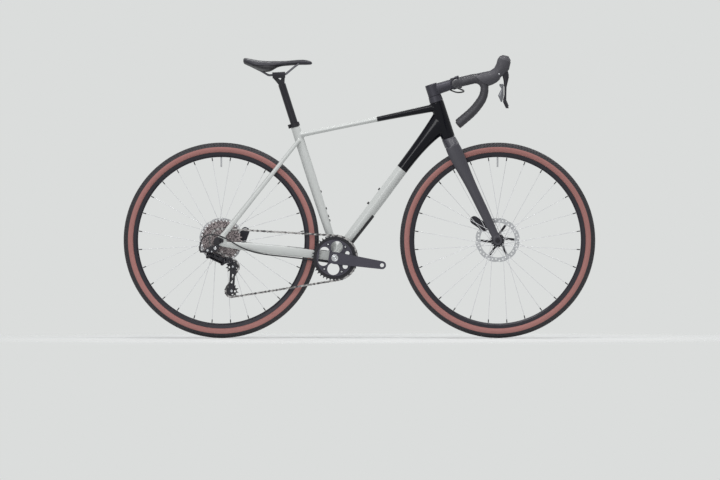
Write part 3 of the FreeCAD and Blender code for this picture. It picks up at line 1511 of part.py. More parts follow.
def make_calipers(fork, rear):
    caliper("front_brake_caliper", FRONT_AXLE, S.front_rotor_y,
            Vector(-S.front_caliper_back, 0, S.front_caliper_rise),
            Vector(-S.front_caliper_ahead, 0, S.front_caliper_low), S.caliper_r,
            S.front_caliper_outward, fork)
    caliper("rear_brake_caliper", REAR_AXLE, S.rear_rotor_y,
            Vector(S.rear_caliper_ahead, 0, -S.rear_caliper_low),
            Vector(S.rear_caliper_top_ahead, 0, S.rear_caliper_rise), S.caliper_r,
            S.rear_caliper_outward, rear.chainstay_left)


# Chain line: wheels in the bike's plane, in the order in which the chain runs over them

def pitch_radius(teeth):
    return S.chain_pitch / (2 * math.sin(math.pi / teeth))


def wrap_radius(teeth):
    """Radius whose circumference is the wheel's own length of chain."""
    return S.chain_pitch * teeth / (2 * math.pi)


CAGE_PIVOT = REAR_AXLE + Vector(S.cage_pivot_ahead, -S.chain_y, -S.cage_pivot_fall)
GUIDE_AT_REST = REAR_AXLE + Vector(S.guide_ahead, -S.chain_y, -S.guide_fall)
TENSION_AT_REST = GUIDE_AT_REST + Vector(-math.sin(math.radians(S.cage_lean)), 0,
                                         -math.cos(math.radians(S.cage_lean))) * S.pulley_spacing
CLOCKWISE = -1
COUNTER = 1


def swung(point, angle):
    """A point turned about the cage pivot; positive swings the cage's lower end back."""
    return CAGE_PIVOT + Rotation(Y, angle).multVec(point - CAGE_PIVOT)


def chain_wheels(angle):
    return [
        (REAR_AXLE - Y * S.chain_y, CHAIN_SPROCKET, CLOCKWISE),
        (BRACKET - Y * S.chain_y, S.chainring_teeth, CLOCKWISE),
        (swung(TENSION_AT_REST, angle), S.pulley_teeth, CLOCKWISE),
        (swung(GUIDE_AT_REST, angle), S.pulley_teeth, COUNTER),
    ]


def tangent_run(first, second):
    """Where the chain leaves the first wheel and meets the second."""
    (start, start_teeth, start_sense), (end, end_teeth, end_sense) = first, second
    span = end - start
    start_r = start_sense * pitch_radius(start_teeth)
    end_r = end_sense * pitch_radius(end_teeth)
    heading = math.atan2(span.z, span.x) - math.asin((end_r - start_r) / span.Length)
    left = Vector(-math.sin(heading), 0, math.cos(heading))
    return start - left * start_r, end - left * end_r


def chain_parts(angle):
    """The chain's straight runs and wraps in order, each as its length and a function of the distance."""
    wheels = chain_wheels(angle)
    count = len(wheels)
    runs = [tangent_run(wheels[index], wheels[(index + 1) % count]) for index in range(count)]
    parts = []
    for index, (leave, meet) in enumerate(runs):
        parts.append(straight_part(leave, meet))
        wheel = wheels[(index + 1) % count]
        parts.append(wrapped_part(wheel, meet, runs[(index + 1) % count][0]))
    return parts


def straight_part(leave, meet):
    span = meet - leave
    return span.Length, lambda distance: leave + span * (distance / span.Length)


def wrapped_part(wheel, meet, leave):
    centre, teeth, sense = wheel
    radius = pitch_radius(teeth)
    start = math.atan2((meet - centre).z, (meet - centre).x)
    end = math.atan2((leave - centre).z, (leave - centre).x)
    sweep = (sense * (end - start)) % (2 * math.pi)

    def place(distance):
        angle = start + sense * distance / wrap_radius(teeth)
        return centre + Vector(math.cos(angle), 0, math.sin(angle)) * radius

    return wrap_radius(teeth) * sweep, place


def chain_length(angle):
    return sum(length for length, place in chain_parts(angle))


def solve_cage():
    """The cage's angle at which the loop is a whole number of links."""
    wanted = S.chain_links * S.chain_pitch
    low, high = -CAGE_SEARCH, CAGE_SEARCH
    rising = chain_length(high) > chain_length(low)
    for step in range(CAGE_STEPS):
        middle = (low + high) / 2
        if (chain_length(middle) > wanted) == rising:
            high = middle
        else:
            low = middle
    print("chain: length at rest %.1f links, cage turned %.2f degrees" % (
        chain_length(0) / S.chain_pitch, middle))
    return middle


CAGE_SEARCH = 30.0
CAGE_STEPS = 60
CAGE_ANGLE = solve_cage()
GUIDE = swung(GUIDE_AT_REST, CAGE_ANGLE)
TENSION = swung(TENSION_AT_REST, CAGE_ANGLE)


def roller_places():
    """The rollers' centres round the loop, and the angle of one roller on each wheel."""
    places = []
    phases = {}
    parts = chain_parts(CAGE_ANGLE)
    wheels = chain_wheels(CAGE_ANGLE)
    for index in range(int(S.chain_links)):
        distance = index * S.chain_pitch
        for number_of_part, (length, place) in enumerate(parts):
            if distance <= length:
                break
            distance -= length
        point = place(distance)
        places.append(point)
        if number_of_part % 2:
            wheel = ((number_of_part + 1) // 2) % len(wheels)
            out = point - wheels[wheel][0]
            phases[wheel] = math.atan2(out.z, out.x)
    return places, phases


ROLLERS, PHASES = roller_places()
SPROCKET_PHASE, RING_PHASE, TENSION_PHASE, GUIDE_PHASE = [PHASES[index] for index in range(4)]


def link_plates(pitch, inner, plate):
    """Two waisted side plates of one link, from one roller's centre to the next along X."""
    half = S.chain_plate_half_height
    plates = []
    for side in (-1, 1):
        start = inner if side > 0 else -inner - plate
        for place in (0, pitch):
            plates.append(Part.makeCylinder(half, plate, Vector(place, start, 0), Y))
        waist = half * CHAIN_WAIST_SHARE
        plates.append(Part.makeBox(pitch, plate, 2 * waist, Vector(0, start, -waist)))
    return plates


CHAIN_WAIST_SHARE = 0.72


def make_chain():
    inner = S.chain_inner_gap / 2
    outer = inner + S.chain_plate + S.running
    ends = (Vector(), X * S.chain_pitch)
    pieces = link_plates(S.chain_pitch, inner, S.chain_plate)
    holes = []
    for end in ends:
        width = 2 * (inner + S.chain_plate)
        pieces.append(Part.makeCylinder(S.chain_roller_r, 2 * inner, end - Y * inner, Y))
        holes.append(Part.makeCylinder(S.chain_pin_r + S.running, width, end - Y * (width / 2), Y))
    inner_link = pieces[0].fuse(pieces[1:]).cut(holes)
    pieces = link_plates(S.chain_pitch, outer, S.chain_plate)
    for end in ends:
        half = outer + S.chain_plate
        pieces.append(Part.makeCylinder(S.chain_pin_r, 2 * half, end - Y * half, Y))
    outer_link = pieces[0].fuse(pieces[1:])
    links = []
    for index, start in enumerate(ROLLERS):
        end = ROLLERS[(index + 1) % len(ROLLERS)]
        link = (outer_link if index % 2 else inner_link).copy()
        middle = (start + end) / 2
        run = (end - start).normalize()
        link.Placement = Placement(middle - run * (S.chain_pitch / 2), Rotation(run, Y, run.cross(Y), "XYZ"))
        links.append(link)
    node("chain", feature("chain_links", Part.makeCompound(links)))


def toothed(centre, teeth, phase, thickness, bore):
    """A toothed plate normal to Y, centred on its mid-plane, one tooth gap at the phase angle."""
    radius = pitch_radius(teeth)
    tip = radius + S.tooth_rise
    step = 2 * math.pi / teeth
    tip_half = S.tooth_thickness / 2 / tip
    back = math.radians(GULLET_ANGLE)

    def polar(out, angle):
        return centre + Vector(math.cos(angle), 0, math.sin(angle)) * out

    edges = []
    previous = None
    first = None
    for index in range(int(teeth)):
        angle = phase + index * step
        seat = polar(radius, angle)

        def rim(turn):
            lean = angle + math.pi + turn
            return seat + Vector(math.cos(lean), 0, math.sin(lean)) * S.gullet_r

        enter, leave = rim(back), rim(-back)
        rising = polar(tip, angle + step / 2 - tip_half)
        falling = polar(tip, angle + step / 2 + tip_half)
        if previous is None:
            first = rim(back)
        else:
            edges.append(Part.LineSegment(previous, rim(back)).toShape())
        edges.append(Part.Arc(enter, rim(0), leave).toShape())
        edges.append(Part.LineSegment(leave, rising).toShape())
        edges.append(Part.LineSegment(rising, falling).toShape())
        previous = falling
    edges.append(Part.LineSegment(previous, first).toShape())
    face = Part.Face(Part.Wire(edges))
    plate = face.extrude(Y * thickness)
    plate.translate(-Y * (thickness / 2))
    return plate.cut(Part.makeCylinder(bore, thickness, centre - Y * (thickness / 2), Y))


GULLET_ANGLE = 58.0


def disc_at(centre, radius, low, high):
    """A disc about a lateral axis through the centre, between two lateral places."""
    return Part.makeCylinder(radius, high - low, Vector(centre.x, low, centre.z), Y)


# Cranks, chainring and cassette

CRANK_OUT = Vector(math.cos(math.radians(S.crank_fall_angle)), 0, -math.sin(math.radians(S.crank_fall_angle)))
BOSS_INNER_Y = S.shell_half_width + S.cup_flange + S.gap
ARM_INNER_Y = S.crank_outer_y - S.crank_arm_thickness
RING_OUTER_Y = S.chain_y + S.chainring_thickness / 2
SPIDER_OUTER_Y = RING_OUTER_Y + S.spider_thickness


def ring_bolt_places():
    places = []
    for angle in (S.spider_angle, -S.spider_angle, 180 - S.spider_angle, S.spider_angle - 180):
        places.append(BRACKET + Rotation(Y, angle).multVec(CRANK_OUT) * S.ring_bolt_circle_r)
    return places


def crank_arm(side):
    """An arm with its boss and pedal eye, on the side given as -1 for the right."""
    eye = BRACKET - CRANK_OUT * (side * S.crank_length)
    arm = stadium(BRACKET, eye, S.crank_root_depth / 2, S.crank_eye_r).extrude(Y * S.crank_arm_thickness)
    arm.translate(Y * (ARM_INNER_Y if side > 0 else -S.crank_outer_y))
    if side > 0:
        boss = disc_at(BRACKET, S.crank_boss_r, BOSS_INNER_Y, ARM_INNER_Y)
        recess = disc_at(BRACKET, S.crank_cap_r, S.crank_outer_y - S.crank_cap_recess, S.crank_outer_y)
        hole = disc_at(eye, S.pedal_hole_r, ARM_INNER_Y, S.crank_outer_y)
    else:
        boss = disc_at(BRACKET, S.crank_boss_r, -ARM_INNER_Y, -BOSS_INNER_Y)
        recess = disc_at(BRACKET, S.crank_cap_r, -S.crank_outer_y, S.crank_cap_recess - S.crank_outer_y)
        hole = disc_at(eye, S.pedal_hole_r, -S.crank_outer_y, -ARM_INNER_Y)
    return arm.fuse(boss).cut([recess, hole])


# Windows of the spider: two angles above the arm, in degrees, then the place of the ends and the radius as
# shares of the ring's inner radius.
WINDOW_SHARES = ((88, 88, 0.60, 0.33), (158, 203, 0.655, 0.27), (-89, -89, 0.61, 0.33), (29, 29, 0.73, 0.12),
                 (-30, -30, 0.73, 0.14))


def make_cranks():
    bolts = ring_bolt_places()
    spindle = disc_at(BRACKET, S.spindle_r, -ARM_INNER_Y, S.crank_outer_y - S.crank_cap_recess)
    spider = disc_at(BRACKET, S.chainring_inner_r, -SPIDER_OUTER_Y, -RING_OUTER_Y)
    holes = [disc_at(place, S.ring_bolt_r, -SPIDER_OUTER_Y, -RING_OUTER_Y) for place in bolts]
    for angle, far_angle, reach, radius in WINDOW_SHARES:
        ends = []
        for turn in (angle, far_angle):
            ends.append(BRACKET + Rotation(Y, -turn).multVec(CRANK_OUT) * (reach * S.chainring_inner_r))
        size = radius * S.chainring_inner_r
        if angle == far_angle:
            holes.append(disc_at(ends[0], size, -SPIDER_OUTER_Y, -RING_OUTER_Y))
            continue
        window = stadium(ends[0], ends[1], size, size).extrude(Y * S.spider_thickness)
        window.translate(-Y * SPIDER_OUTER_Y)
        holes.append(window)
    right = crank_arm(-1).fuse(spider.cut(holes)).cut(spindle)
    node("crank_arm_right", compound("crank_right_group", [
        feature("crank_right", right), feature("crank_spindle", spindle)]))
    node("crank_arm_left", feature("crank_left", crank_arm(1).cut(spindle)))

    centre = BRACKET - Y * S.chain_y
    low, high = -RING_OUTER_Y, S.chainring_thickness - RING_OUTER_Y
    ring = disc_at(BRACKET, S.chainring_body_r, low, high)
    ring = ring.cut(disc_at(BRACKET, S.chainring_inner_r, low, high))
    tabs = []
    for place in bolts:
        outer = BRACKET + (place - BRACKET) * (S.chainring_inner_r / S.ring_bolt_circle_r)
        tab = stadium(place, outer, S.ring_tab_r, S.ring_tab_r).extrude(Y * S.chainring_thickness)
        tab.translate(Y * low)
        tabs.append(tab)
    teeth = toothed(centre, S.chainring_teeth, RING_PHASE, S.tooth_thickness, S.chainring_inner_r)
    holes = [disc_at(place, S.ring_bolt_r, low, high) for place in bolts]
    node("chainring", feature("chainring_form", teeth.fuse([ring] + tabs).cut(holes)))

    pins = []
    for place in bolts:
        shank = disc_at(place, S.ring_bolt_r, -SPIDER_OUTER_Y, high)
        inner = disc_at(place, S.ring_bolt_head_r, high, high + S.ring_bolt_head)
        outer = disc_at(place, S.ring_bolt_head_r, -SPIDER_OUTER_Y - S.ring_bolt_head, -SPIDER_OUTER_Y)
        pins.append(shank.fuse([inner, outer]))
    node("chainring_bolts", feature("chainring_bolt_set", Part.makeCompound(pins)))


HOLE_COUNT = 8
HOLE_SHARE = 0.8


def sprocket(teeth, lateral):
    centre = REAR_AXLE + Y * lateral
    plate = toothed(centre, teeth, SPROCKET_PHASE, S.tooth_thickness, S.freehub_r)
    outer = pitch_radius(teeth) - S.gullet_r
    band = outer - S.spacer_ring_r
    circle = (outer + S.spacer_ring_r) / 2
    radius = HOLE_SHARE * min(band / 2, circle * math.sin(math.pi / HOLE_COUNT))
    if teeth <= CHAIN_SPROCKET:
        return plate
    holes = []
    half = S.tooth_thickness / 2
    for index in range(HOLE_COUNT):
        place = centre + wheel_direction(2 * math.pi * index / HOLE_COUNT) * circle
        holes.append(disc_at(place, radius, lateral - half, lateral + half))
    return plate.cut(holes)


def make_cassette():
    pieces = []
    here = SPROCKETS.index(CHAIN_SPROCKET)
    half = S.tooth_thickness / 2
    for index, teeth in enumerate(SPROCKETS):
        lateral = -S.chain_y + (index - here) * S.cassette_spacing
        pieces.append(sprocket(teeth, lateral))
        if index:
            low = lateral - S.cassette_spacing + half
            ring = disc_at(REAR_AXLE, S.spacer_ring_r, low, lateral - half)
            pieces.append(ring.cut(disc_at(REAR_AXLE, S.freehub_r, low, lateral - half)))
    outer = -S.chain_y - here * S.cassette_spacing - half
    ring = disc_at(REAR_AXLE, S.lockring_r, outer - S.lockring, outer)
    pieces.append(ring.cut(disc_at(REAR_AXLE, S.freehub_r, outer - S.lockring, outer)))
    low = S.gap - S.rear_spacing / 2
    high = -S.rear_flange_right_y - S.flange_thickness / 2 - S.running - S.gap
    barrel = disc_at(REAR_AXLE, S.freehub_r, low, high)
    pieces.append(barrel.cut(disc_at(REAR_AXLE, S.axle_r + S.running, low, high)))
    node("cassette", feature("cassette_set", Part.makeCompound(pieces)))


# Rear derailleur

LINK_ROOT = HANGER_BOLT + Vector(-S.link_back, -S.link_root_y, -S.link_fall)
LINK_END = Vector(CAGE_PIVOT.x - S.link_end_back, -S.link_end_y, CAGE_PIVOT.z - S.link_end_fall)
LINK_RUN = (LINK_END - LINK_ROOT).normalize()
# How far the cage moves back and down for each step inward, as shares of that step.
SLANT_SHARES = Vector(-0.71, 1, -0.58)
LINK_SWING = (SLANT_SHARES - LINK_RUN * SLANT_SHARES.dot(LINK_RUN)).normalize()
LINK_AXIS = LINK_RUN.cross(LINK_SWING)
LINK_OFFSET = LINK_SWING * S.link_spacing


def rod(start, end, radius):
    return Part.makeCylinder(radius, (end - start).Length, start, end - start)


def derailleur_link(offset):
    root = LINK_ROOT + offset
    end = LINK_END + offset
    half = S.link_height / 2
    length = (end - root).Length
    web = Part.makeBox(length, S.link_thickness, S.link_height, Vector(0, -S.link_thickness / 2, -half))
    web.Placement = Placement(root, Rotation(LINK_RUN, LINK_SWING, LINK_AXIS, "XYZ"))
    barrels = []
    bores = []
    for place in (root, end):
        start = place - LINK_AXIS * half
        barrels.append(Part.makeCylinder(S.link_barrel_r, S.link_height, start, LINK_AXIS))
        bores.append(Part.makeCylinder(S.link_pin_r + S.running, S.link_height, start, LINK_AXIS))
    return web.fuse(barrels).cut(bores)


def link_holder(place):
    """Two cheeks with the pins of both links at one end, and the room the links' barrels need."""
    half = S.link_height / 2 + S.gap
    cheeks = []
    for side in (-1, 1):
        start = half if side > 0 else -half - S.link_cheek
        for offset in (Vector(), LINK_OFFSET):
            cheeks.append(Part.makeCylinder(S.link_barrel_r, S.link_cheek, place + offset + LINK_AXIS * start,
                                            LINK_AXIS))
        bar = Part.makeBox(2 * S.link_barrel_r, S.link_spacing, S.link_cheek, Vector(-S.link_barrel_r, 0, 0))
        bar.Placement = Placement(place + LINK_AXIS * start, Rotation(LINK_RUN, LINK_SWING, LINK_AXIS, "XYZ"))
        cheeks.append(bar)
    pins = []
    rooms = []
    for offset in (Vector(), LINK_OFFSET):
        reach = half + S.link_cheek
        pins.append(Part.makeCylinder(S.link_pin_r, 2 * reach, place + offset - LINK_AXIS * reach, LINK_AXIS))
        room_start = place + offset - LINK_AXIS * half
        rooms.append(Part.makeCylinder(S.link_barrel_r + S.link_room, 2 * half, room_start, LINK_AXIS))
    return cheeks, pins, rooms


def make_derailleur():
    half = S.link_height / 2 + S.gap
    cheek_middle = LINK_AXIS * (half + S.link_cheek / 2)
    cheeks, pins, rooms = link_holder(LINK_ROOT)
    inner_y = -DROPOUT_INNER_Y - S.gap - S.hanger_thickness - S.gap
    barrel = disc_at(HANGER_BOLT, S.knuckle_r, inner_y - S.knuckle_depth, inner_y)
    bolt = disc_at(HANGER_BOLT, S.hanger_bolt_r, inner_y, -DROPOUT_INNER_Y - S.gap)
    middle = Vector(HANGER_BOLT.x, inner_y - S.knuckle_depth / 2, HANGER_BOLT.z)
    arm = rod(LINK_ROOT + cheek_middle, middle, S.link_rod_r)
    slab = Part.makeCylinder(S.pulley_spacing, 2 * half, LINK_ROOT - LINK_AXIS * half, LINK_AXIS)
    arm = arm.cut([slab, disc_at(HANGER_BOLT, S.pulley_spacing, inner_y, inner_y + S.pulley_spacing)])
    stop = rod(LINK_ROOT + cheek_middle, CABLE_STOP, S.cable_stop_r).cut(rooms)
    knuckle = barrel.fuse([bolt, arm, stop] + cheeks + pins)
    node("derailleur_knuckle", feature("derailleur_root", knuckle))
    node("derailleur_outer_link", feature("outer_link", derailleur_link(Vector())))
    node("derailleur_inner_link", feature("inner_link", derailleur_link(LINK_OFFSET)))

    plate_y = -S.chain_y - S.cage_gap / 2 - S.cage_plate
    knuckle_y = plate_y - S.gap
    cheeks, pins, rooms = link_holder(LINK_END)
    barrel = disc_at(CAGE_PIVOT, S.cage_knuckle_r, knuckle_y - S.cage_knuckle_depth, knuckle_y)
    middle = Vector(CAGE_PIVOT.x, knuckle_y - S.cage_knuckle_depth / 2, CAGE_PIVOT.z)
    arms = []
    for side in (-1, 1):
        arms.append(rod(LINK_END + cheek_middle * side, middle, S.link_barrel_r))
    bore = disc_at(CAGE_PIVOT, S.cage_pin_r + S.running, knuckle_y - S.cage_knuckle_depth, knuckle_y)
    body = barrel.fuse(arms + cheeks).cut(rooms).cut(bore)
    node("cage_knuckle", feature("cage_root", body.fuse(pins)))

    pieces = []
    for low, outer in ((plate_y, True), (-S.chain_y + S.cage_gap / 2, False)):
        plate = stadium(GUIDE, TENSION, S.cage_width / 2, S.cage_width / 2 - S.gap)
        slot = stadium(GUIDE + (TENSION - GUIDE) * CAGE_SLOT_SHARES[0],
                       GUIDE + (TENSION - GUIDE) * CAGE_SLOT_SHARES[1], S.cage_slot_r, S.cage_slot_r - S.gap)
        if outer:
            plate = plate.fuse(stadium(CAGE_PIVOT, GUIDE, S.cage_knuckle_r, S.cage_width / 2))
        plate = plate.cut(slot).extrude(Y * S.cage_plate)
        plate.translate(Y * (low + S.chain_y))
        pieces.append(plate)
    inner_y = -S.chain_y + S.cage_gap / 2 + S.cage_plate
    for place in (GUIDE, TENSION):
        pieces.append(disc_at(place, S.pulley_bolt_r, plate_y, inner_y))
        pieces.append(disc_at(place, S.pulley_bolt_head_r, plate_y - S.pulley_bolt_head, plate_y))
        pieces.append(disc_at(place, S.pulley_bolt_head_r, inner_y, inner_y + S.pulley_bolt_head))
    pieces.append(disc_at(CAGE_PIVOT, S.cage_pin_r, knuckle_y - S.cage_knuckle_depth, plate_y))
    node("derailleur_cage", feature("cage_form", pieces[0].fuse(pieces[1:])))

    half = S.cage_gap / 2 - S.gap
    wheels = (("guide_pulley", GUIDE, GUIDE_PHASE), ("tension_pulley", TENSION, TENSION_PHASE))
    for label, place, phase in wheels:
        bore = S.pulley_bolt_r + S.running
        wheel = toothed(place, S.pulley_teeth, phase, S.pulley_thickness, bore)
        ring = (S.pulley_boss_r + pitch_radius(S.pulley_teeth) - S.gullet_r) / 2
        holes = []
        for index in range(PULLEY_HOLES):
            spot = place + wheel_direction(phase + 2 * math.pi * index / PULLEY_HOLES) * ring
            holes.append(disc_at(spot, S.pulley_hole_r, -S.chain_y - half, -S.chain_y + half))
        wheel = wheel.cut(holes)
        boss = disc_at(place, S.pulley_boss_r, -S.chain_y - half, -S.chain_y + half)
        boss = boss.cut(disc_at(place, bore, -S.chain_y - half, -S.chain_y + half))
        node(label, feature(label + "_form", wheel.fuse(boss)))


CAGE_SLOT_SHARES = (0.36, 0.64)
PULLEY_HOLES = 5

# Route of the shift housing behind the axle: back of it, out from the middle plane and above it, as shares of
# the loop's length behind the axle, its lateral place and its height.
HOUSING_SHARES = ((-0.864, 0.957, -0.96), (-0.17, 1.00, 0.48), (0.426, 1.00, 1.00), (0.839, 0.99, 0.64),
                  (1.00, 0.98, -0.68), (0.978, 0.967, -1.38))
HOUSING_STAY_SHARES = (0.24, 0.46, 0.68)


def housing_points():
    points = [BRACKET + Vector(-S.housing_start_back, -S.housing_start_y, -S.housing_start_fall)]
    stations = chainstay_stations()
    for share in HOUSING_STAY_SHARES:
        back = share * S.rear_centre
        for (near, width, depth), (far, far_width, far_depth) in zip(stations, stations[1:]):
            if BRACKET.x - back >= far.x:
                break
        part = (BRACKET.x - back - near.x) / (far.x - near.x)
        centre = near + (far - near) * part
        under = S.chainstay_mid_depth / 2 + S.housing_r + S.housing_room
        points.append(Vector(centre.x, -centre.y, centre.z - under))
    for back, out, up in HOUSING_SHARES:
        points.append(REAR_AXLE + Vector(-back * S.housing_loop_back, -out * S.housing_out_y,
                                         up * S.housing_loop_rise))
    return points


CABLE_STOP = housing_points()[-1] - Z * (S.cable_stop_r + 2 * S.gap)


def make_shift_housing():
    node("shift_cable_housing", feature("shift_housing", pipe(cord_path(housing_points()), S.housing_r)))


# Build, check and export

def build():
    tubes = make_frame_tubes()
    make_headset_bearings()
    make_bracket_cups()
    rear = make_rear_triangle(tubes)
    make_hanger(rear)
    make_seat_clamp()
    make_boss_bolts(tubes)
    make_guard(tubes)
    rails = make_saddle()
    make_seatpost(rails)
    fork = make_fork()
    make_axle("front_axle", FRONT_AXLE, "front_spacing", "fork_end_thickness")
    make_axle("rear_axle", REAR_AXLE, "rear_spacing", "dropout_thickness")
    make_steerer_stack()
    stem = make_stem()
    wrap = make_handlebar()
    make_levers(wrap)
    make_control_cables(stem)
    make_wheels()
    make_calipers(fork, rear)
    make_chain()
    make_cranks()
    make_cassette()
    make_derailleur()
    make_shift_housing()


build()
doc.recompute()

for item in doc.Objects:
    if "Invalid" in item.State or "Error" in item.State:
        raise RuntimeError("%s does not recompute: %s" % (item.Name, item.State))
os.makedirs("parts", exist_ok=True)
faulty = []
for item in NODES:
    if item.Shape.isNull() or not item.Shape.isValid() or not item.Shape.Solids:
        faulty.append(item.Label)
if faulty:
    raise RuntimeError("not valid solids: " + ", ".join(faulty))
for item in NODES:
    item.Shape.exportStep("parts/" + item.Label + ".step")
print(len(NODES), "parts written")
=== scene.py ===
"""Looks for a gravel bike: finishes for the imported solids, and the soft and fine pieces on them."""

import math

import bmesh
import bpy
from mathutils import Matrix, Vector


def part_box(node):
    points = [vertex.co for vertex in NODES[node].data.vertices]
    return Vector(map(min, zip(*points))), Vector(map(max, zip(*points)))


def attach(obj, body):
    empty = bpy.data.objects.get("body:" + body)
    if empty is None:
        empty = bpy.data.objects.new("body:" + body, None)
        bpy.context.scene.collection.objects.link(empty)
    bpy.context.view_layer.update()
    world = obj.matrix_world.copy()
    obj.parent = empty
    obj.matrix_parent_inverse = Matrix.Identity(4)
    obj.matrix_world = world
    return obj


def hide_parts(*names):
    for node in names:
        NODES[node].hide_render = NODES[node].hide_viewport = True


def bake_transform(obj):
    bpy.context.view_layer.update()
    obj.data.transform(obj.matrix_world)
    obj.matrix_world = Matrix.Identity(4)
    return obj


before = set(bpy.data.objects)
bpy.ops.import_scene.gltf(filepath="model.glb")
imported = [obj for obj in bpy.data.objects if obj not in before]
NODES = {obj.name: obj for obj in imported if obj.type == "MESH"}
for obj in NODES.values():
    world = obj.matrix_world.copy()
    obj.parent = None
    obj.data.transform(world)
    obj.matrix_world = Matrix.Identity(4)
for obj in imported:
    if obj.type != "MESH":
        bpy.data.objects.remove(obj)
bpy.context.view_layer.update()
X = Vector((1, 0, 0))
Y = Vector((0, 1, 0))
Z = Vector((0, 0, 1))


def middle(name):
    """The middle of a node's box."""
    low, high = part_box(name)
    return (low + high) / 2


FRONT = middle("front_tyre")
REAR = middle("rear_tyre")
CRANK = Vector((-0.089, 0, 0.290))
BAR = Vector((0.34894, 0, 0.92163))


# Finishes

def srgb(red, green, blue):
    """The linear colour of an 8-bit screen colour."""
    parts = []
    for value in (red, green, blue):
        share = value / 255
        parts.append(share / 12.92 if share <= 0.04045 else ((share + 0.055) / 1.055) ** 2.4)
    return (*parts, 1.0)


def shade(colour, share):
    """A colour made darker or lighter by a share."""
    return (*(min(part * share, 1.0) for part in colour[:3]), 1.0)


PALE = srgb(193, 196, 194)
GLOSS = srgb(10, 10, 18)
CHARCOAL = srgb(56, 55, 63)
ALLOY = srgb(44, 43, 49)
GRAPHITE = srgb(70, 68, 78)
SILVER = srgb(196, 197, 200)
BRONZE = srgb(150, 141, 140)
RUBBER = srgb(50, 48, 52)
TAN = srgb(164, 112, 107)


class Finish:
    """A node material in the object's own coordinates, in metres."""

    def __init__(self, name):
        self.material = bpy.data.materials.new(name)
        self.material.use_nodes = True
        self.tree = self.material.node_tree
        self.shader = self.tree.nodes["Principled BSDF"]
        self.place = self.add("ShaderNodeTexCoord").outputs["Object"]

    def add(self, kind, **settings):
        node = self.tree.nodes.new(kind)
        for key, value in settings.items():
            setattr(node, key, value)
        return node

    def feed(self, target, source):
        """Links a socket, or sets a plain value."""
        if isinstance(source, bpy.types.NodeSocket):
            self.tree.links.new(source, target)
        else:
            target.default_value = source

    def set(self, **values):
        for key, value in values.items():
            self.feed(self.shader.inputs[key.replace("_", " ")], value)

    def noise(self, size, detail):
        node = self.add("ShaderNodeTexNoise")
        self.feed(node.inputs["Vector"], self.place)
        node.inputs["Scale"].default_value = 1 / size
        node.inputs["Detail"].default_value = detail
        return node.outputs["Fac"]

    def cells(self, size):
        node = self.add("ShaderNodeTexVoronoi")
        self.feed(node.inputs["Vector"], self.place)
        node.inputs["Scale"].default_value = 1 / size
        return node.outputs["Distance"]

    def stretch(self, scale):
        node = self.add("ShaderNodeVectorMath", operation="MULTIPLY")
        self.feed(node.inputs[0], self.place)
        node.inputs[1].default_value = scale
        return node.outputs[0]

    def math(self, operation, first, second=0.0):
        node = self.add("ShaderNodeMath", operation=operation)
        self.feed(node.inputs[0], first)
        self.feed(node.inputs[1], second)
        return node.outputs[0]

    def step(self, value, low, high, start=0.0, end=1.0):
        node = self.add("ShaderNodeMapRange", interpolation_type="SMOOTHSTEP")
        self.feed(node.inputs["Value"], value)
        node.inputs["From Min"].default_value = low
        node.inputs["From Max"].default_value = high
        node.inputs["To Min"].default_value = start
        node.inputs["To Max"].default_value = end
        return node.outputs["Result"]

    def mix(self, factor, first, second):
        node = self.add("ShaderNodeMix", data_type="RGBA")
        self.feed(node.inputs[0], factor)
        self.feed(node.inputs[6], first)
        self.feed(node.inputs[7], second)
        return node.outputs[2]

    def bump(self, height, depth, under=None):
        node = self.add("ShaderNodeBump")
        self.feed(node.inputs["Height"], height)
        node.inputs["Distance"].default_value = depth
        node.inputs["Strength"].default_value = 1.0
        if under is not None:
            self.feed(node.inputs["Normal"], under)
        return node.outputs["Normal"]

    def along(self, direction, start):
        """Signed distance from a plane through start."""
        shift = self.add("ShaderNodeVectorMath", operation="SUBTRACT")
        self.feed(shift.inputs[0], self.place)
        shift.inputs[1].default_value = start
        dot = self.add("ShaderNodeVectorMath", operation="DOT_PRODUCT")
        self.feed(dot.inputs[0], shift.outputs[0])
        dot.inputs[1].default_value = direction
        return dot.outputs["Value"]

    def from_axle(self, centre):
        """Distance from a lateral axis through centre."""
        shift = self.add("ShaderNodeVectorMath", operation="SUBTRACT")
        self.feed(shift.inputs[0], self.place)
        shift.inputs[1].default_value = centre
        flat = self.add("ShaderNodeVectorMath", operation="MULTIPLY")
        self.feed(flat.inputs[0], shift.outputs[0])
        flat.inputs[1].default_value = (1, 0, 1)
        length = self.add("ShaderNodeVectorMath", operation="LENGTH")
        self.feed(length.inputs[0], flat.outputs[0])
        return length.outputs["Value"]


def finish(name, colour, roughness, metallic=0.0, patch=0.12, patch_size=0.06, uneven=0.06,
           grain=0.0012, relief=0.00002, coat=0.0, coat_roughness=0.06):
    """A finish with mottled colour, uneven gloss and a fine grain."""
    made = Finish(name)
    tone = made.mix(made.noise(patch_size, 4), shade(colour, 1 - patch), shade(colour, 1 + patch))
    made.set(Base_Color=tone, Metallic=metallic, Coat_Weight=coat, Coat_Roughness=coat_roughness)
    gloss = made.noise(patch_size / 3, 3)
    made.set(Roughness=made.step(gloss, 0.25, 0.75, max(roughness - uneven, 0.02), roughness + uneven))
    made.set(Normal=made.bump(made.noise(grain, 2), relief))
    return made


def brushed(name, colour, centre, roughness=0.3, ring=0.0009):
    """Metal turned about an axle: fine rings in its gloss and relief."""
    made = Finish(name)
    out = made.from_axle(centre)
    wave = made.math("SINE", made.math("MULTIPLY", out, 2 * math.pi / ring))
    fine = made.noise(0.004, 4)
    lines = made.math("ADD", made.math("MULTIPLY", wave, 0.3), fine)
    made.set(Base_Color=made.mix(fine, shade(colour, 0.82), shade(colour, 1.1)), Metallic=1.0)
    made.set(Roughness=made.step(lines, 0.1, 1.0, roughness - 0.08, roughness + 0.12))
    made.set(Normal=made.bump(lines, 0.00004))
    return made


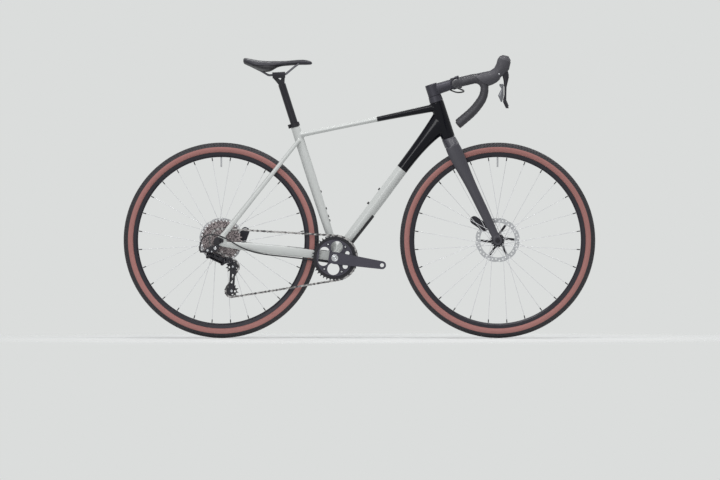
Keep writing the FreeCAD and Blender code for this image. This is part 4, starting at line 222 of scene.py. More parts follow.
def dress(material, *names):
    """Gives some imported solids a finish."""
    for name in names:
        slots = NODES[name].data.materials
        slots.clear()
        slots.append(material.material)


fork_paint = finish("fork_satin_charcoal", CHARCOAL, 0.46, patch=0.07, patch_size=0.1, grain=0.0009,
                    coat=0.15, coat_roughness=0.3)
black_alloy = finish("alloy_anodised_black", ALLOY, 0.42, metallic=0.55, grain=0.0005, relief=0.00001)
satin_alloy = finish("alloy_satin_black", shade(CHARCOAL, 1.1), 0.45, metallic=0.4, grain=0.0006)
polished_alloy = finish("alloy_polished_black", srgb(32, 31, 37), 0.27, metallic=0.3, patch=0.05,
                        grain=0.002, relief=0.000005)
grey_alloy = finish("alloy_grey", srgb(120, 121, 126), 0.38, metallic=0.8, grain=0.0006)
rail_grey = finish("rail_grey", srgb(92, 91, 97), 0.34, metallic=0.6, grain=0.0008)
crank_alloy = finish("crank_graphite", GRAPHITE, 0.42, metallic=0.45, grain=0.0006, relief=0.00001)
steel = finish("steel_bright", SILVER, 0.22, metallic=1.0, grain=0.0008, relief=0.00001)
dark_steel = finish("steel_black_oxide", srgb(52, 51, 55), 0.38, metallic=0.8, grain=0.0005)
ring_black = finish("chainring_black", srgb(42, 41, 46), 0.4, metallic=0.5, grain=0.0006)
link_black = finish("derailleur_black", srgb(36, 35, 41), 0.34, metallic=0.35, grain=0.0007)
cover_black = finish("derailleur_cover_black", srgb(34, 33, 39), 0.36, metallic=0.2, grain=0.0007)
plastic = finish("plastic_moulded_black", srgb(40, 39, 43), 0.5, grain=0.0004, relief=0.00003)
guard_rubber = finish("guard_textured_black", srgb(33, 32, 36), 0.62, grain=0.0011, relief=0.00012)

dress(satin_alloy, "stem_faceplate", "headset_stack", "derailleur_hanger")
dress(polished_alloy, "seatpost", "seat_clamp")
dress(black_alloy, "handlebar", "saddle_clamp", "headset_bearings", "bottom_bracket_cups",
      "front_brake_caliper", "rear_brake_caliper", "front_axle", "rear_axle", "steerer_tube",
      "brake_lever_right", "brake_lever_left")
dress(grey_alloy, "shift_paddle")
dress(dark_steel, "stem_bolts", "bottle_boss_bolts", "chainring_bolts")
dress(rail_grey, "saddle_rails")
dress(plastic, "saddle_base", "guide_pulley", "tension_pulley")
dress(guard_rubber, "down_tube_guard")
dress(crank_alloy, "crank_arm_right", "crank_arm_left")
dress(ring_black, "chainring")
dress(link_black, "derailleur_knuckle", "derailleur_outer_link", "derailleur_inner_link", "cage_knuckle",
      "derailleur_cage")

# Where a wheel's metal changes colour, out from its axle: valve to rim, spoke to nipple, carrier to rotor.
VALVE_R = 0.3003
NIPPLE_R = 0.2878
CARRIER_R = 0.0603
EDGE_BLUR = 0.0003
NIPPLE_BLUR = 0.0002
VALVE_BRIGHT = srgb(186, 187, 190)
NIPPLE_BLACK = srgb(38, 37, 42)
CARRIER_BLACK = srgb(36, 35, 40)


def wheel_metal(word, centre):
    """Rim, spokes with black nipples, hub, and a bright rotor ring on a black carrier."""
    rim = finish(word + "_rim_black", srgb(38, 36, 44), 0.36, metallic=0.3, grain=0.0006)
    valve = rim.step(rim.from_axle(centre), VALVE_R - EDGE_BLUR, VALVE_R + EDGE_BLUR, 1, 0)
    black = rim.mix(rim.noise(0.06, 4), srgb(33, 31, 39), srgb(43, 41, 49))
    rim.set(Base_Color=rim.mix(valve, black, VALVE_BRIGHT), Metallic=rim.step(valve, 0, 1, 0.3, 0.8))
    dress(rim, word + "_rim")
    spokes = Finish(word + "_spoke_steel")
    nipple = spokes.step(spokes.from_axle(centre), NIPPLE_R - NIPPLE_BLUR, NIPPLE_R + NIPPLE_BLUR)
    bright = spokes.mix(spokes.noise(0.02, 3), srgb(206, 207, 210), srgb(232, 233, 235))
    spokes.set(Base_Color=spokes.mix(nipple, bright, NIPPLE_BLACK), Metallic=0.15)
    spokes.set(Roughness=spokes.step(nipple, 0, 1, 0.26, 0.4))
    dress(spokes, word + "_spokes")
    dress(black_alloy, word + "_hub")
    rotor = brushed(word + "_rotor_steel", SILVER, centre, 0.28)
    carrier = rotor.step(rotor.from_axle(centre), CARRIER_R - EDGE_BLUR, CARRIER_R + EDGE_BLUR, 1, 0)
    ground = rotor.mix(rotor.noise(0.004, 4), shade(SILVER, 0.85), shade(SILVER, 1.1))
    rotor.set(Base_Color=rotor.mix(carrier, ground, CARRIER_BLACK))
    rotor.set(Metallic=rotor.step(carrier, 0, 1, 1.0, 0.4))
    dress(rotor, word + "_rotor")


wheel_metal("front", FRONT)
wheel_metal("rear", REAR)

# Sprockets: dark and worn patches of a few millimetres, crossed by rings of painted shade at the pitch of
# the sprockets, in the gaps between them.
SPROCKET_STEP = 0.0054
cassette = brushed("cassette_steel", BRONZE, REAR, 0.3, 0.0022)
ramps = cassette.noise(0.0034, 3)
ring_turns = cassette.math("MULTIPLY", cassette.from_axle(REAR), 2 * math.pi / SPROCKET_STEP)
rings = cassette.math("SINE", ring_turns)
worn = cassette.mix(cassette.step(ramps, 0.40, 0.60), srgb(60, 54, 58), srgb(190, 178, 178))
# Painted shade: darker rings where the sprockets meet.
shadowed = cassette.mix(cassette.step(rings, 0.2, 0.9, 0, 0.55), worn, srgb(50, 46, 50))
cassette.set(Base_Color=shadowed, Metallic=0.7)
dress(cassette, "cassette")
chain_steel = Finish("chain_steel")
links = chain_steel.noise(0.011, 2)
link_tone = chain_steel.mix(chain_steel.step(links, 0.4, 0.6), srgb(84, 82, 84), srgb(176, 174, 173))
chain_steel.set(Base_Color=link_tone)
chain_steel.set(Metallic=0.9, Roughness=chain_steel.step(links, 0.3, 0.7, 0.28, 0.45))


# Shapes

def piece(name, points, faces, material, body, smooth=True, second=None, second_faces=()):
    """A mesh with its points in the row frame, riding on a body."""
    mesh = bpy.data.meshes.new(name)
    mesh.from_pydata(points, [], faces)
    mesh.validate()
    mesh.materials.append(material.material)
    if second is not None:
        mesh.materials.append(second.material)
        for index in second_faces:
            mesh.polygons[index].material_index = 1
    for face in mesh.polygons:
        face.use_smooth = smooth
    made = bpy.data.objects.new(name, mesh)
    bpy.context.scene.collection.objects.link(made)
    tidy = bmesh.new()
    tidy.from_mesh(mesh)
    bmesh.ops.recalc_face_normals(tidy, faces=tidy.faces)
    tidy.to_mesh(mesh)
    tidy.free()
    if body:
        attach(made, body)
    return made


def skin(rings, closed=False):
    """Faces over a row of rings that all have the same count of points."""
    count = len(rings[0])
    points = [point for ring in rings for point in ring]
    faces = []
    last = len(rings) if closed else len(rings) - 1
    for row in range(last):
        start = row * count
        after = (row + 1) % len(rings) * count
        for column in range(count):
            beside = (column + 1) % count
            faces.append((start + column, start + beside, after + beside, after + column))
    if not closed:
        faces.append(tuple(range(count))[::-1])
        faces.append(tuple(range(len(points) - count, len(points))))
    return points, faces


def side_axes(axis):
    """Two directions square to an axis and to each other."""
    axis = axis.normalized()
    other = Z if abs(axis.z) < 0.9 else X
    across = axis.cross(other).normalized()
    return across, axis.cross(across).normalized()


def turned(name, profile, place, axis, material, body, count=32, hexagons=0):
    """A piece turned about an axis from (radius, height) points. The last few points may have six flats."""
    across, up = side_axes(axis)
    axis = axis.normalized()
    rings = []
    for row, (radius, height) in enumerate(profile):
        ring = []
        for index in range(count):
            angle = 2 * math.pi * index / count
            reach = radius
            if row >= len(profile) - hexagons:
                part = angle % (math.pi / 3) - math.pi / 6
                reach = radius * math.cos(math.pi / 6) / math.cos(part)
            ring.append(place + axis * height + (across * math.cos(angle) + up * math.sin(angle)) * reach)
        rings.append(ring)
    points, faces = skin(rings)
    return piece(name, points, faces, material, body)


def bolt(name, place, axis, radius, height, material, body):
    """A round-headed bolt with a hexagon socket."""
    socket = radius * 0.5
    profile = [(radius, 0), (radius, height * 0.7), (radius * 0.86, height), (socket * 1.2, height),
               (socket, height * 0.92), (socket, height * 0.35), (socket * 0.1, height * 0.3)]
    made = turned(name, profile, place, axis, material, body, count=36, hexagons=3)
    made.data.polygons.foreach_set("use_smooth", [False] * len(made.data.polygons))
    return made


# Tyres

TYRE_R = 0.353
SECTION_R = 0.021
TREAD_DEPTH = 0.0013
TREAD_EDGE = math.radians(73.4)
BEAD_ANGLE = math.radians(123)
BEAD_HALF = 0.0112
BEAD_R = 0.3165
CASING_WALL = 0.0026
TREAD_RAMP = math.radians(8)
TREAD_PITCHES = 190
# Rows of tread blocks: degrees from the crown, length and width in millimetres, and the share of the pitch
# that the row is moved by.
TREAD_ROWS = ((5, 6.0, 4.0, 0.0), (-5, 6.0, 4.0, 0.5), (19, 5.5, 3.6, 0.25), (-19, 5.5, 3.6, 0.75),
              (34, 6.0, 4.0, 0.0), (-34, 6.0, 4.0, 0.5), (50, 7.0, 4.4, 0.35), (-50, 7.0, 4.4, 0.85),
              (65, 6.0, 3.6, 0.1), (-65, 6.0, 3.6, 0.6))
BLOCK_SINK_SHARE = 1.3
BLOCK_TOP_SHARE = 0.78

tread_rubber = finish("tyre_tread_rubber", RUBBER, 0.66, patch=0.12, patch_size=0.05, grain=0.0009,
                      relief=0.00006)
casing = Finish("tyre_casing_tan")
weave = casing.noise(0.0011, 3)
tone = casing.mix(casing.noise(0.05, 4), shade(TAN, 0.93), shade(TAN, 1.07))
casing.set(Base_Color=casing.mix(casing.step(weave, 0.35, 0.65, 0, 0.22), tone, shade(TAN, 0.7)))
casing.set(Roughness=0.68)
casing.set(Normal=casing.bump(weave, 0.00012))


def tyre(word, centre):
    """A tyre casing with a tan side, and a tread of small blocks."""
    def section(angle, depth):
        """Out from the axle and to the side, at an angle from the crown."""
        radius = SECTION_R - depth
        return TYRE_R - SECTION_R + radius * math.cos(angle), radius * math.sin(angle)

    profile = [(BEAD_R, -BEAD_HALF)]
    steps = 26
    for index in range(steps + 1):
        angle = BEAD_ANGLE * (2 * index / steps - 1)
        share = min(max((TREAD_EDGE - abs(angle)) / TREAD_RAMP, 0), 1)
        profile.append(section(angle, TREAD_DEPTH * share))
    profile.append((BEAD_R, BEAD_HALF))
    outside = len(profile)
    inner_steps = 8
    for index in range(inner_steps + 1):
        angle = BEAD_ANGLE * (1 - 2 * index / inner_steps)
        profile.append(section(angle, CASING_WALL + TREAD_DEPTH))
    rings = []
    turns = 200
    for index in range(turns):
        angle = 2 * math.pi * index / turns
        out = X * math.sin(angle) + Z * math.cos(angle)
        rings.append([centre + out * radius + Y * side for radius, side in profile])
    points, faces = skin(rings, closed=True)
    count = len(profile)
    tan_faces = []
    for index, face in enumerate(faces):
        columns = [corner % count for corner in face]
        if max(columns) >= outside:
            continue
        radius = sum(profile[column][0] for column in columns) / len(columns)
        if radius < TYRE_R - SECTION_R + SECTION_R * math.cos(TREAD_EDGE):
            tan_faces.append(index)
    for degrees, long, wide, shift in TREAD_ROWS:
        lean = math.radians(degrees)
        half_lean = wide / 2000 / SECTION_R
        half_turn = long / 2000 / TYRE_R
        for index in range(TREAD_PITCHES):
            turn = 2 * math.pi * (index + shift) / TREAD_PITCHES
            start = len(points)
            for depth, part in ((TREAD_DEPTH * BLOCK_SINK_SHARE, 1.0), (0, BLOCK_TOP_SHARE)):
                for across, forward in ((-1, -1), (1, -1), (1, 1), (-1, 1)):
                    radius, side = section(lean + across * half_lean * part, depth)
                    angle = turn + forward * half_turn * part
                    out = X * math.sin(angle) + Z * math.cos(angle)
                    points.append(centre + out * radius + Y * side)
            faces.append((start + 4, start + 5, start + 6, start + 7))
            for corner in range(4):
                beside = (corner + 1) % 4
                faces.append((start + corner, start + beside, start + 4 + beside, start + 4 + corner))
    made = piece(word + "_tyre_tread", points, faces, tread_rubber, word + "_wheel", second=casing,
                 second_faces=tan_faces)
    for face in made.data.polygons[len(rings) * count:]:
        face.use_smooth = False
    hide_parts(word + "_tyre")


tyre("front", FRONT)
tyre("rear", REAR)


# Bar tape and plugs

BAR_R = 0.0119
TAPE_HIGH = 0.0028
TAPE_LOW = 0.0013
TAPE_PITCH = 0.0165
TAPE_START = 0.062
TAPE_EDGE_SHARE = 0.12
TAPE_FALL_SHARE = 0.45
TAPE_SPACING = 0.0016
PLUG_R = 0.014
PLUG_LONG = 0.004
STRIP_PROUD = 0.0002
STRIP_R = BAR_R + TAPE_HIGH + STRIP_PROUD
STRIP_EDGE_R = BAR_R + TAPE_HIGH * 0.8
# The end plug and the finishing strip as (radius, height) points.
PLUG_PROFILE = ((BAR_R, -0.001), (PLUG_R, 0), (PLUG_R, PLUG_LONG * 0.55), (PLUG_R * 0.9, PLUG_LONG * 0.9),
                (PLUG_R * 0.6, PLUG_LONG), (PLUG_R * 0.5, PLUG_LONG * 0.8), (PLUG_R * 0.1, PLUG_LONG * 0.75))
STRIP_PROFILE = ((BAR_R, -0.003), (STRIP_EDGE_R, -0.003), (STRIP_R, -0.001), (STRIP_R, 0.011),
                 (STRIP_EDGE_R, 0.013), (BAR_R, 0.013))
# Corners of the right half of the bar from its centre: ahead, out to the right, up, and the bend at each.
BAR_CORNERS = ((0, 0.205, 0, 0.042), (0.103, 0.205, 0.024, 0.033), (0.103, 0.21063, -0.046, 0.084),
               (0.066, 0.21712, -0.099, 0.230), (0.009, 0.223, -0.147, 0))


def bent_route(corners, start, spacing):
    """Points along straight runs with a tangent arc at each corner."""
    places = [start] + [place for place, bend in corners]
    route = [start]
    for before, (corner, bend), after in zip(places, corners, places[2:]):
        arrive = (corner - before).normalized()
        leave = (after - corner).normalized()
        half_turn = arrive.angle(leave) / 2
        reach = bend * math.tan(half_turn)
        first = corner - arrive * reach
        last = corner + leave * reach
        centre = corner + (leave - arrive).normalized() * (bend / math.cos(half_turn))
        run = first - route[-1]
        count = max(int(run.length / spacing), 1)
        route += [route[-1] + run * (index / count) for index in range(1, count + 1)]
        count = max(int(bend * 2 * half_turn / spacing), 2)
        normal = arrive.cross(leave).normalized()
        for index in range(1, count + 1):
            turn = Matrix.Rotation(2 * half_turn * index / count, 3, normal)
            route.append(centre + turn @ (first - centre))
    run = places[-1] - route[-1]
    count = max(int(run.length / spacing), 1)
    route += [route[-1] + run * (index / count) for index in range(1, count + 1)]
    return route


tape_foam = Finish("bar_tape_foam")
pores = tape_foam.cells(0.0034)
foam = tape_foam.noise(0.0009, 3)
tape_tone = tape_foam.mix(tape_foam.noise(0.03, 4), srgb(40, 39, 44), srgb(58, 57, 63))
# Painted shade: the tape is made near black towards the middle of each pore dimple.
pore_shade = tape_foam.step(pores, 0.0, 0.22, 0.75, 0.0)
tape_foam.set(Base_Color=tape_foam.mix(pore_shade, tape_tone, srgb(18, 18, 20)))
tape_foam.set(Roughness=tape_foam.step(foam, 0.3, 0.7, 0.42, 0.62))
foam_relief = tape_foam.bump(foam, 0.0001)
tape_foam.set(Normal=tape_foam.bump(tape_foam.step(pores, 0.05, 0.25), 0.0003, under=foam_relief))
tape_end = finish("bar_tape_finish_strip", srgb(30, 29, 33), 0.4, grain=0.002, relief=0.00005)


def bar_side(word, side):
    """The wound tape, the end plug and the finishing strip of one half of the bar."""
    corners = []
    for ahead, out, up, bend in BAR_CORNERS:
        corners.append((BAR + Vector((ahead, side * out, up)), bend))
    route = bent_route(corners, BAR + Y * (side * TAPE_START), TAPE_SPACING)
    rings = []
    around = 30
    axis = (route[1] - route[0]).normalized()
    across, up = side_axes(axis)
    travelled = 0
    for index, place in enumerate(route):
        if index:
            travelled += (place - route[index - 1]).length
            heading = (route[min(index + 1, len(route) - 1)] - route[index - 1]).normalized()
            turn = axis.rotation_difference(heading)
            across = turn @ across
            up = turn @ up
            axis = heading
        ring = []
        for corner in range(around):
            angle = 2 * math.pi * corner / around
            phase = (travelled / TAPE_PITCH - side * corner / around) % 1.0
            lift = min(phase / TAPE_EDGE_SHARE, 1.0) - TAPE_FALL_SHARE * max(phase - TAPE_EDGE_SHARE, 0)
            height = TAPE_LOW + (TAPE_HIGH - TAPE_LOW) * lift
            ring.append(place + (across * math.cos(angle) + up * math.sin(angle)) * (BAR_R + height))
        rings.append(ring)
    points, faces = skin(rings)
    tape = piece("bar_tape_wrap_" + word, points, faces, tape_foam, "steering")
    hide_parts("bar_tape")
    heading = (route[-1] - route[-2]).normalized()
    plug = turned("bar_plug_" + word, PLUG_PROFILE, route[-1], heading, plastic, "steering", count=40)
    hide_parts("bar_tape")
    strip = turned("bar_tape_strip_" + word, STRIP_PROFILE, route[0], Y * side, tape_end, "steering",
                   count=40)


bar_side("right", -1)
bar_side("left", 1)


# Hoods

def softened(name, nodes, voxel, rounds, material, body):
    """One copy of some solids, remeshed evenly and smoothed, so that they blend where they join."""
    mesh = bpy.data.meshes.new(name)
    joined = bmesh.new()
    for node in nodes:
        joined.from_mesh(NODES[node].data)
    joined.to_mesh(mesh)
    joined.free()
    made = bpy.data.objects.new(name, mesh)
    bpy.context.scene.collection.objects.link(made)
    mesh.materials.clear()
    mesh.materials.append(material.material)
    even = made.modifiers.new("even", "REMESH")
    even.mode = "VOXEL"
    even.voxel_size = voxel
    relax = made.modifiers.new("relax", "SMOOTH")
    relax.factor = 0.5
    relax.iterations = rounds
    baked = bpy.data.meshes.new_from_object(made.evaluated_get(bpy.context.evaluated_depsgraph_get()))
    made.modifiers.clear()
    made.data = baked
    for face in baked.polygons:
        face.use_smooth = True
    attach(made, body)
    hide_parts(*nodes)
    return made


hood_rubber = Finish("hood_rubber")
hood_tone = hood_rubber.mix(hood_rubber.noise(0.03, 4), srgb(54, 53, 59), srgb(70, 69, 75))
dimples = hood_rubber.cells(0.0019)
hood_rubber.set(Base_Color=hood_tone)
hood_rubber.set(Roughness=hood_rubber.step(hood_rubber.noise(0.01, 3), 0.3, 0.7, 0.5, 0.66))
hood_rubber.set(Normal=hood_rubber.bump(dimples, 0.00018))
hoods = softened("hoods_moulded", ["lever_hoods"], voxel=0.0013, rounds=6, material=hood_rubber,
                 body="steering")
LEVER_PIN = Vector((0.5048, 0, 0.9580))
LEVER_PIN_PROFILE = ((0.0030, -0.0006), (0.0030, 0.0004), (0.0024, 0.0009), (0.0003, 0.0011))
CLEAR_OF_BAR = 0.3
for word, side in (("right", -1), ("left", 1)):
    place = hoods.ray_cast(LEVER_PIN + Y * (side * CLEAR_OF_BAR), Y * -side)[1]
    turned("lever_pin_" + word, LEVER_PIN_PROFILE, Vector(place), Y * side, steel, "steering", count=24)


# Frame, fork and stem, each one piece with blended joints

# Where the paint changes on the top tube and the down tube, and the directions square to those edges.
TOP_EDGE = Vector((0.0636, 0, 0.79))
TOP_RUN = Vector((1, 0, 0.22))
DOWN_EDGE = Vector((0.1532, 0, 0.6102))
DOWN_RUN = Vector((0.64, 0, 0.77))
PAINT_BLUR = 0.0004
FRAME_NODES = ["head_tube", "top_tube", "down_tube", "seat_tube", "bottom_bracket_shell", "chainstays",
               "seatstays", "dropouts"]

frame_coat = Finish("frame_paint_two_tone")
top_ahead = frame_coat.along(TOP_RUN, TOP_EDGE)
down_ahead = frame_coat.along(DOWN_RUN, DOWN_EDGE)
both_ahead = frame_coat.math("MINIMUM", top_ahead, down_ahead)
ahead = frame_coat.step(both_ahead, -PAINT_BLUR, PAINT_BLUR)
pale_tone = frame_coat.mix(frame_coat.noise(0.15, 3), shade(PALE, 0.975), shade(PALE, 1.025))
frame_coat.set(Base_Color=frame_coat.mix(ahead, pale_tone, GLOSS), Coat_Weight=0.3, Coat_Roughness=0.14)
frame_coat.set(Roughness=frame_coat.step(ahead, 0, 1, 0.45, 0.3))
frame_coat.set(Specular_IOR_Level=frame_coat.step(ahead, 0, 1, 0.5, 0.05))
frame_coat.set(Normal=frame_coat.bump(frame_coat.noise(0.006, 2), 0.00001))
softened("frame_welded", FRAME_NODES, voxel=0.0018, rounds=14, material=frame_coat, body="frame")
softened("fork_moulded", ["fork"], voxel=0.0016, rounds=14, material=fork_paint, body="steering")
softened("stem_forged", ["stem"], voxel=0.0012, rounds=10, material=satin_alloy, body="steering")


# Saddle cover

saddle_skin = Finish("saddle_skin")
pebble = saddle_skin.cells(0.0016)
skin_tone = saddle_skin.mix(saddle_skin.noise(0.05, 4), srgb(36, 35, 42), srgb(47, 46, 53))
saddle_skin.set(Base_Color=skin_tone, Specular_IOR_Level=0.3)
saddle_skin.set(Roughness=saddle_skin.step(saddle_skin.noise(0.02, 3), 0.3, 0.7, 0.42, 0.58))
saddle_skin.set(Normal=saddle_skin.bump(pebble, 0.00002))
saddle = softened("saddle_cover_soft", ["saddle_cover"], voxel=0.002, rounds=24, material=saddle_skin,
                  body="seat")


# Bolts and caps

# Places in the side view, and the lateral places of the faces that the pieces stand on.
CRANK_FACE = -0.074
CRANK_FALL = math.radians(8.65)
SPIDER_FACE = -0.0522
RING_BOLTS_R = 0.055
RING_BOLT_DEGREES = (55, 125, 235, 305)
HANGER_BOLT = Vector((-0.5215, 0, 0.326))
CABLE_BOLT = Vector((-0.5488, 0, 0.3183))
LIMIT_SCREW = Vector((-0.5338, 0, 0.3142))
BODY_COVER_FACE = -0.0985
HANGER_COVER_FACE = -0.0840
GUIDE = Vector((-0.45746, 0, 0.25879))
TENSION = Vector((-0.46197, 0, 0.17071))
CAGE_PIVOT = Vector((-0.470, 0, 0.281))
CAGE_PIVOT_FACE = -0.0661
CAGE_COVER_FACE = -0.0532
LINK_ROOT = Vector((-0.541, -0.088, 0.306))
LINK_END = Vector((-0.488, -0.064, 0.280))
LINK_AXIS = Vector((0.13975, 0.56917, 0.81026))
LINK_COVER_LIFT = 0.0044
AXLE_CAPS = (("front", FRONT, -0.066, "steering"), ("rear", REAR, -0.083, "frame"))
# Caps as (radius, height) points.
CRANK_CAP_PROFILE = ((0.0126, 0), (0.0126, 0.0012), (0.0118, 0.0019), (0.0092, 0.0019), (0.0086, 0.0008),
                     (0.0062, 0.0008), (0.0060, 0.0014), (0.0040, 0.0014), (0.0038, 0.0003),
                     (0.0004, 0.0002))
PIVOT_CAP_PROFILE = ((0.0120, 0), (0.0120, 0.0022), (0.0108, 0.0034), (0.0064, 0.0034), (0.0060, 0.0022),
                     (0.0030, 0.0022), (0.0028, 0.0010), (0.0004, 0.0009))
# Circles of (across, up, radius) that an outline is stretched round.
BODY_COVER = ((-0.5215, 0.326, 0.0125), (-0.5488, 0.3183, 0.0095), (-0.5333, 0.3145, 0.006))
HANGER_COVER = ((-0.512, 0.3526, 0.0138), (-0.519, 0.3445, 0.009))
LINK_COVER = ((0.0215, 0.0035, 0.0065), (0.0215, -0.0035, 0.0065), (0.045, 0.002, 0.0065),
              (0.045, -0.003, 0.0065))
LINK_COVER_SLOT = ((0.024, 0, 0.0022), (0.038, 0, 0.0018))
CAGE_SLOT_HIGH = ((-0.4562, 0.2320, 0.0026), (-0.4586, 0.2190, 0.0026))
CAGE_SLOT_LOW = ((-0.4606, 0.2080, 0.0026), (-0.4632, 0.1945, 0.0028))
# The cage's plate: the line of its middle with half its width, and its two round holes.
CAGE_COVER_LINE = ((-0.4552, 0.2665, 0.0098), (-0.4540, 0.2480, 0.0092), (-0.4585, 0.2180, 0.0080),
                   (-0.4640, 0.1900, 0.0092), (-0.4655, 0.1690, 0.0118))
CAGE_HOLES = (((-0.4546, 0.2680), 0.0034), ((-0.4538, 0.2480), 0.0036))


def faced(place, lateral):
    """A place in the side view, moved to a lateral place."""
    return Vector((place.x, lateral, place.z))


def plate(name, loops, lateral, thickness, bevel, material, body, turn=None):
    """A flat piece with holes: closed loops of (across, up) points, its outer face at a lateral place."""
    line = bpy.data.curves.new(name, "CURVE")
    line.dimensions = "2D"
    line.fill_mode = "BOTH"
    line.extrude = thickness / 2 - bevel
    line.bevel_depth = bevel
    line.bevel_resolution = 2
    line.offset = -bevel
    for loop in loops:
        spline = line.splines.new("POLY")
        spline.points.add(len(loop) - 1)
        for point, (across, up) in zip(spline.points, loop):
            point.co = (across, up, 0, 1)
        spline.use_cyclic_u = True
    flat = bpy.data.objects.new(name, line)
    bpy.context.scene.collection.objects.link(flat)
    mesh = bpy.data.meshes.new_from_object(flat.evaluated_get(bpy.context.evaluated_depsgraph_get()))
    bpy.data.objects.remove(flat)
    stand = turn or Matrix(((1, 0, 0, 0), (0, 0, -1, lateral + thickness / 2), (0, 1, 0, 0), (0, 0, 0, 1)))
    points = [stand @ corner.co for corner in mesh.vertices]
    faces = [tuple(face.vertices) for face in mesh.polygons]
    made = piece(name, points, faces, material, body, smooth=False)
    weld = bmesh.new()
    weld.from_mesh(made.data)
    bmesh.ops.remove_doubles(weld, verts=weld.verts, dist=0.00001)
    weld.to_mesh(made.data)
    weld.free()
    return made


def circle(centre, radius, count=28):
    """Points of (across, up) round a centre."""
    return [(centre[0] + radius * math.cos(2 * math.pi * index / count),
             centre[1] + radius * math.sin(2 * math.pi * index / count)) for index in range(count)]


def hull(*circles):
    """The outline stretched round some circles of (across, up, radius)."""
    points = sorted({point for across, up, radius in circles for point in circle((across, up), radius, 40)})
    sides = []
    for row in (points, points[::-1]):
        chain = []
        for point in row:
            while len(chain) > 1:
                (ax, ay), (bx, by) = chain[-2:]
                if (bx - ax) * (point[1] - ay) - (by - ay) * (point[0] - ax) > 0:
                    break
                chain.pop()
            chain.append(point)
        sides += chain[:-1]
    return sides


def ribbon(places, count=10):
    """The outline of a curved strip through (across, up, half width) places, with round ends."""
    path = []
    ends = [places[0]] + list(places) + [places[-1]]
    for before, start, end, after in zip(ends, ends[1:], ends[2:], ends[3:]):
        for index in range(count):
            share = index / count
            spot = []
            for a, b, c, d in zip(before, start, end, after):
                spot.append(0.5 * (2 * b + (c - a) * share + (2 * a - 5 * b + 4 * c - d) * share ** 2
                                   + (3 * b - a - 3 * c + d) * share ** 3))
            path.append(spot)
    path.append(list(places[-1]))
    left = []
    right = []
    for index, (across, up, half) in enumerate(path):
        first = path[max(index - 1, 0)]
        last = path[min(index + 1, len(path) - 1)]
        heading = math.atan2(last[1] - first[1], last[0] - first[0])
        left.append((across - half * math.sin(heading), up + half * math.cos(heading)))
        right.append((across + half * math.sin(heading), up - half * math.cos(heading)))
        if index in (0, len(path) - 1):
            start = heading + (math.pi / 2 if index == 0 else -math.pi / 2)
            cap = [(across + half * math.cos(start + math.pi * step / 12),
                    up + half * math.sin(start + math.pi * step / 12)) for step in range(1, 12)]
            if index == 0:
                first_cap = cap
            else:
                last_cap = cap
    return right + last_cap + left[::-1] + first_cap


turned("crank_cap", CRANK_CAP_PROFILE, faced(CRANK, CRANK_FACE), -Y, steel, "crank", count=48, hexagons=2)
for index, degrees in enumerate(RING_BOLT_DEGREES):
    turn = math.radians(degrees) - CRANK_FALL
    place = CRANK + Vector((math.cos(turn), 0, math.sin(turn))) * RING_BOLTS_R
    bolt("ring_bolt_%d" % index, faced(place, SPIDER_FACE), -Y, radius=0.0032, height=0.0009, material=steel,
         body="crank")

# Rear derailleur covers
plate("derailleur_body_cover", [hull(*BODY_COVER)], BODY_COVER_FACE, thickness=0.006, bevel=0.0014,
      material=cover_black, body="derailleur_base")
bolt("derailleur_mount_bolt", faced(HANGER_BOLT, BODY_COVER_FACE), -Y, radius=0.0056, height=0.0022,
     material=steel, body="derailleur_base")
bolt("derailleur_cable_bolt", faced(CABLE_BOLT, BODY_COVER_FACE), -Y, radius=0.0046, height=0.0026,
     material=steel, body="derailleur_base")
bolt("derailleur_limit_screw", faced(LIMIT_SCREW, BODY_COVER_FACE), -Y, radius=0.0026, height=0.0012,
     material=steel, body="derailleur_base")
plate("hanger_cover", [hull(*HANGER_COVER)], HANGER_COVER_FACE, thickness=0.0037, bevel=0.0010,
      material=cover_black, body="frame")
run = (LINK_END - LINK_ROOT).normalized()
out = run.cross(LINK_AXIS)
link_turn = Matrix((run, LINK_AXIS, out)).transposed().to_4x4()
link_turn.translation = LINK_ROOT + out * LINK_COVER_LIFT
plate("derailleur_link_cover", [hull(*LINK_COVER), hull(*LINK_COVER_SLOT)], 0, thickness=0.0036,
      bevel=0.0009, material=cover_black, body="outer_link", turn=link_turn)
turned("cage_pivot_cap", PIVOT_CAP_PROFILE, faced(CAGE_PIVOT, CAGE_PIVOT_FACE), -Y, cover_black,
       "lower_knuckle", count=40, hexagons=2)
cage_loops = [ribbon(CAGE_COVER_LINE)]
cage_loops += [circle(centre, radius) for centre, radius in CAGE_HOLES]
cage_loops += [hull(*CAGE_SLOT_HIGH), hull(*CAGE_SLOT_LOW)]
plate("cage_plate_cover", cage_loops, CAGE_COVER_FACE, thickness=0.0019, bevel=0.0004, material=cover_black,
      body="cage")
bolt("guide_pulley_bolt", faced(GUIDE, CAGE_COVER_FACE), -Y, radius=0.0036, height=0.0012, material=steel,
     body="cage")
bolt("tension_pulley_bolt", faced(TENSION, CAGE_COVER_FACE), -Y, radius=0.0044, height=0.0014,
     material=steel, body="cage")
for word, centre, lateral, body in AXLE_CAPS:
    bolt(word + "_axle_cap", faced(centre, lateral), -Y, radius=0.0072, height=0.0010, material=dark_steel,
         body=body)


# Chain, in parts: on the frame, on the cage, and between them on no body

LOWER_REAR = Vector((-0.455, 0, 0.148))
LOWER_FRONT = Vector((-0.085, 0, 0.209))
LOWER_HALF_DEPTH = 0.012
RETURN_START = Vector((-0.20, 0, 0.190))
RETURN_END = Vector((-0.36, 0, 0.164))
CAGE_RUN_BACK = -0.42
CAGE_RUN_TOP = 0.288
DROP_TOP = 0.306
DROP_START = Vector((-0.487, 0, 0.311))
DROP_END = Vector((-0.463, 0, 0.290))
WELD = 0.000001
SHARP_EDGE = math.radians(35)
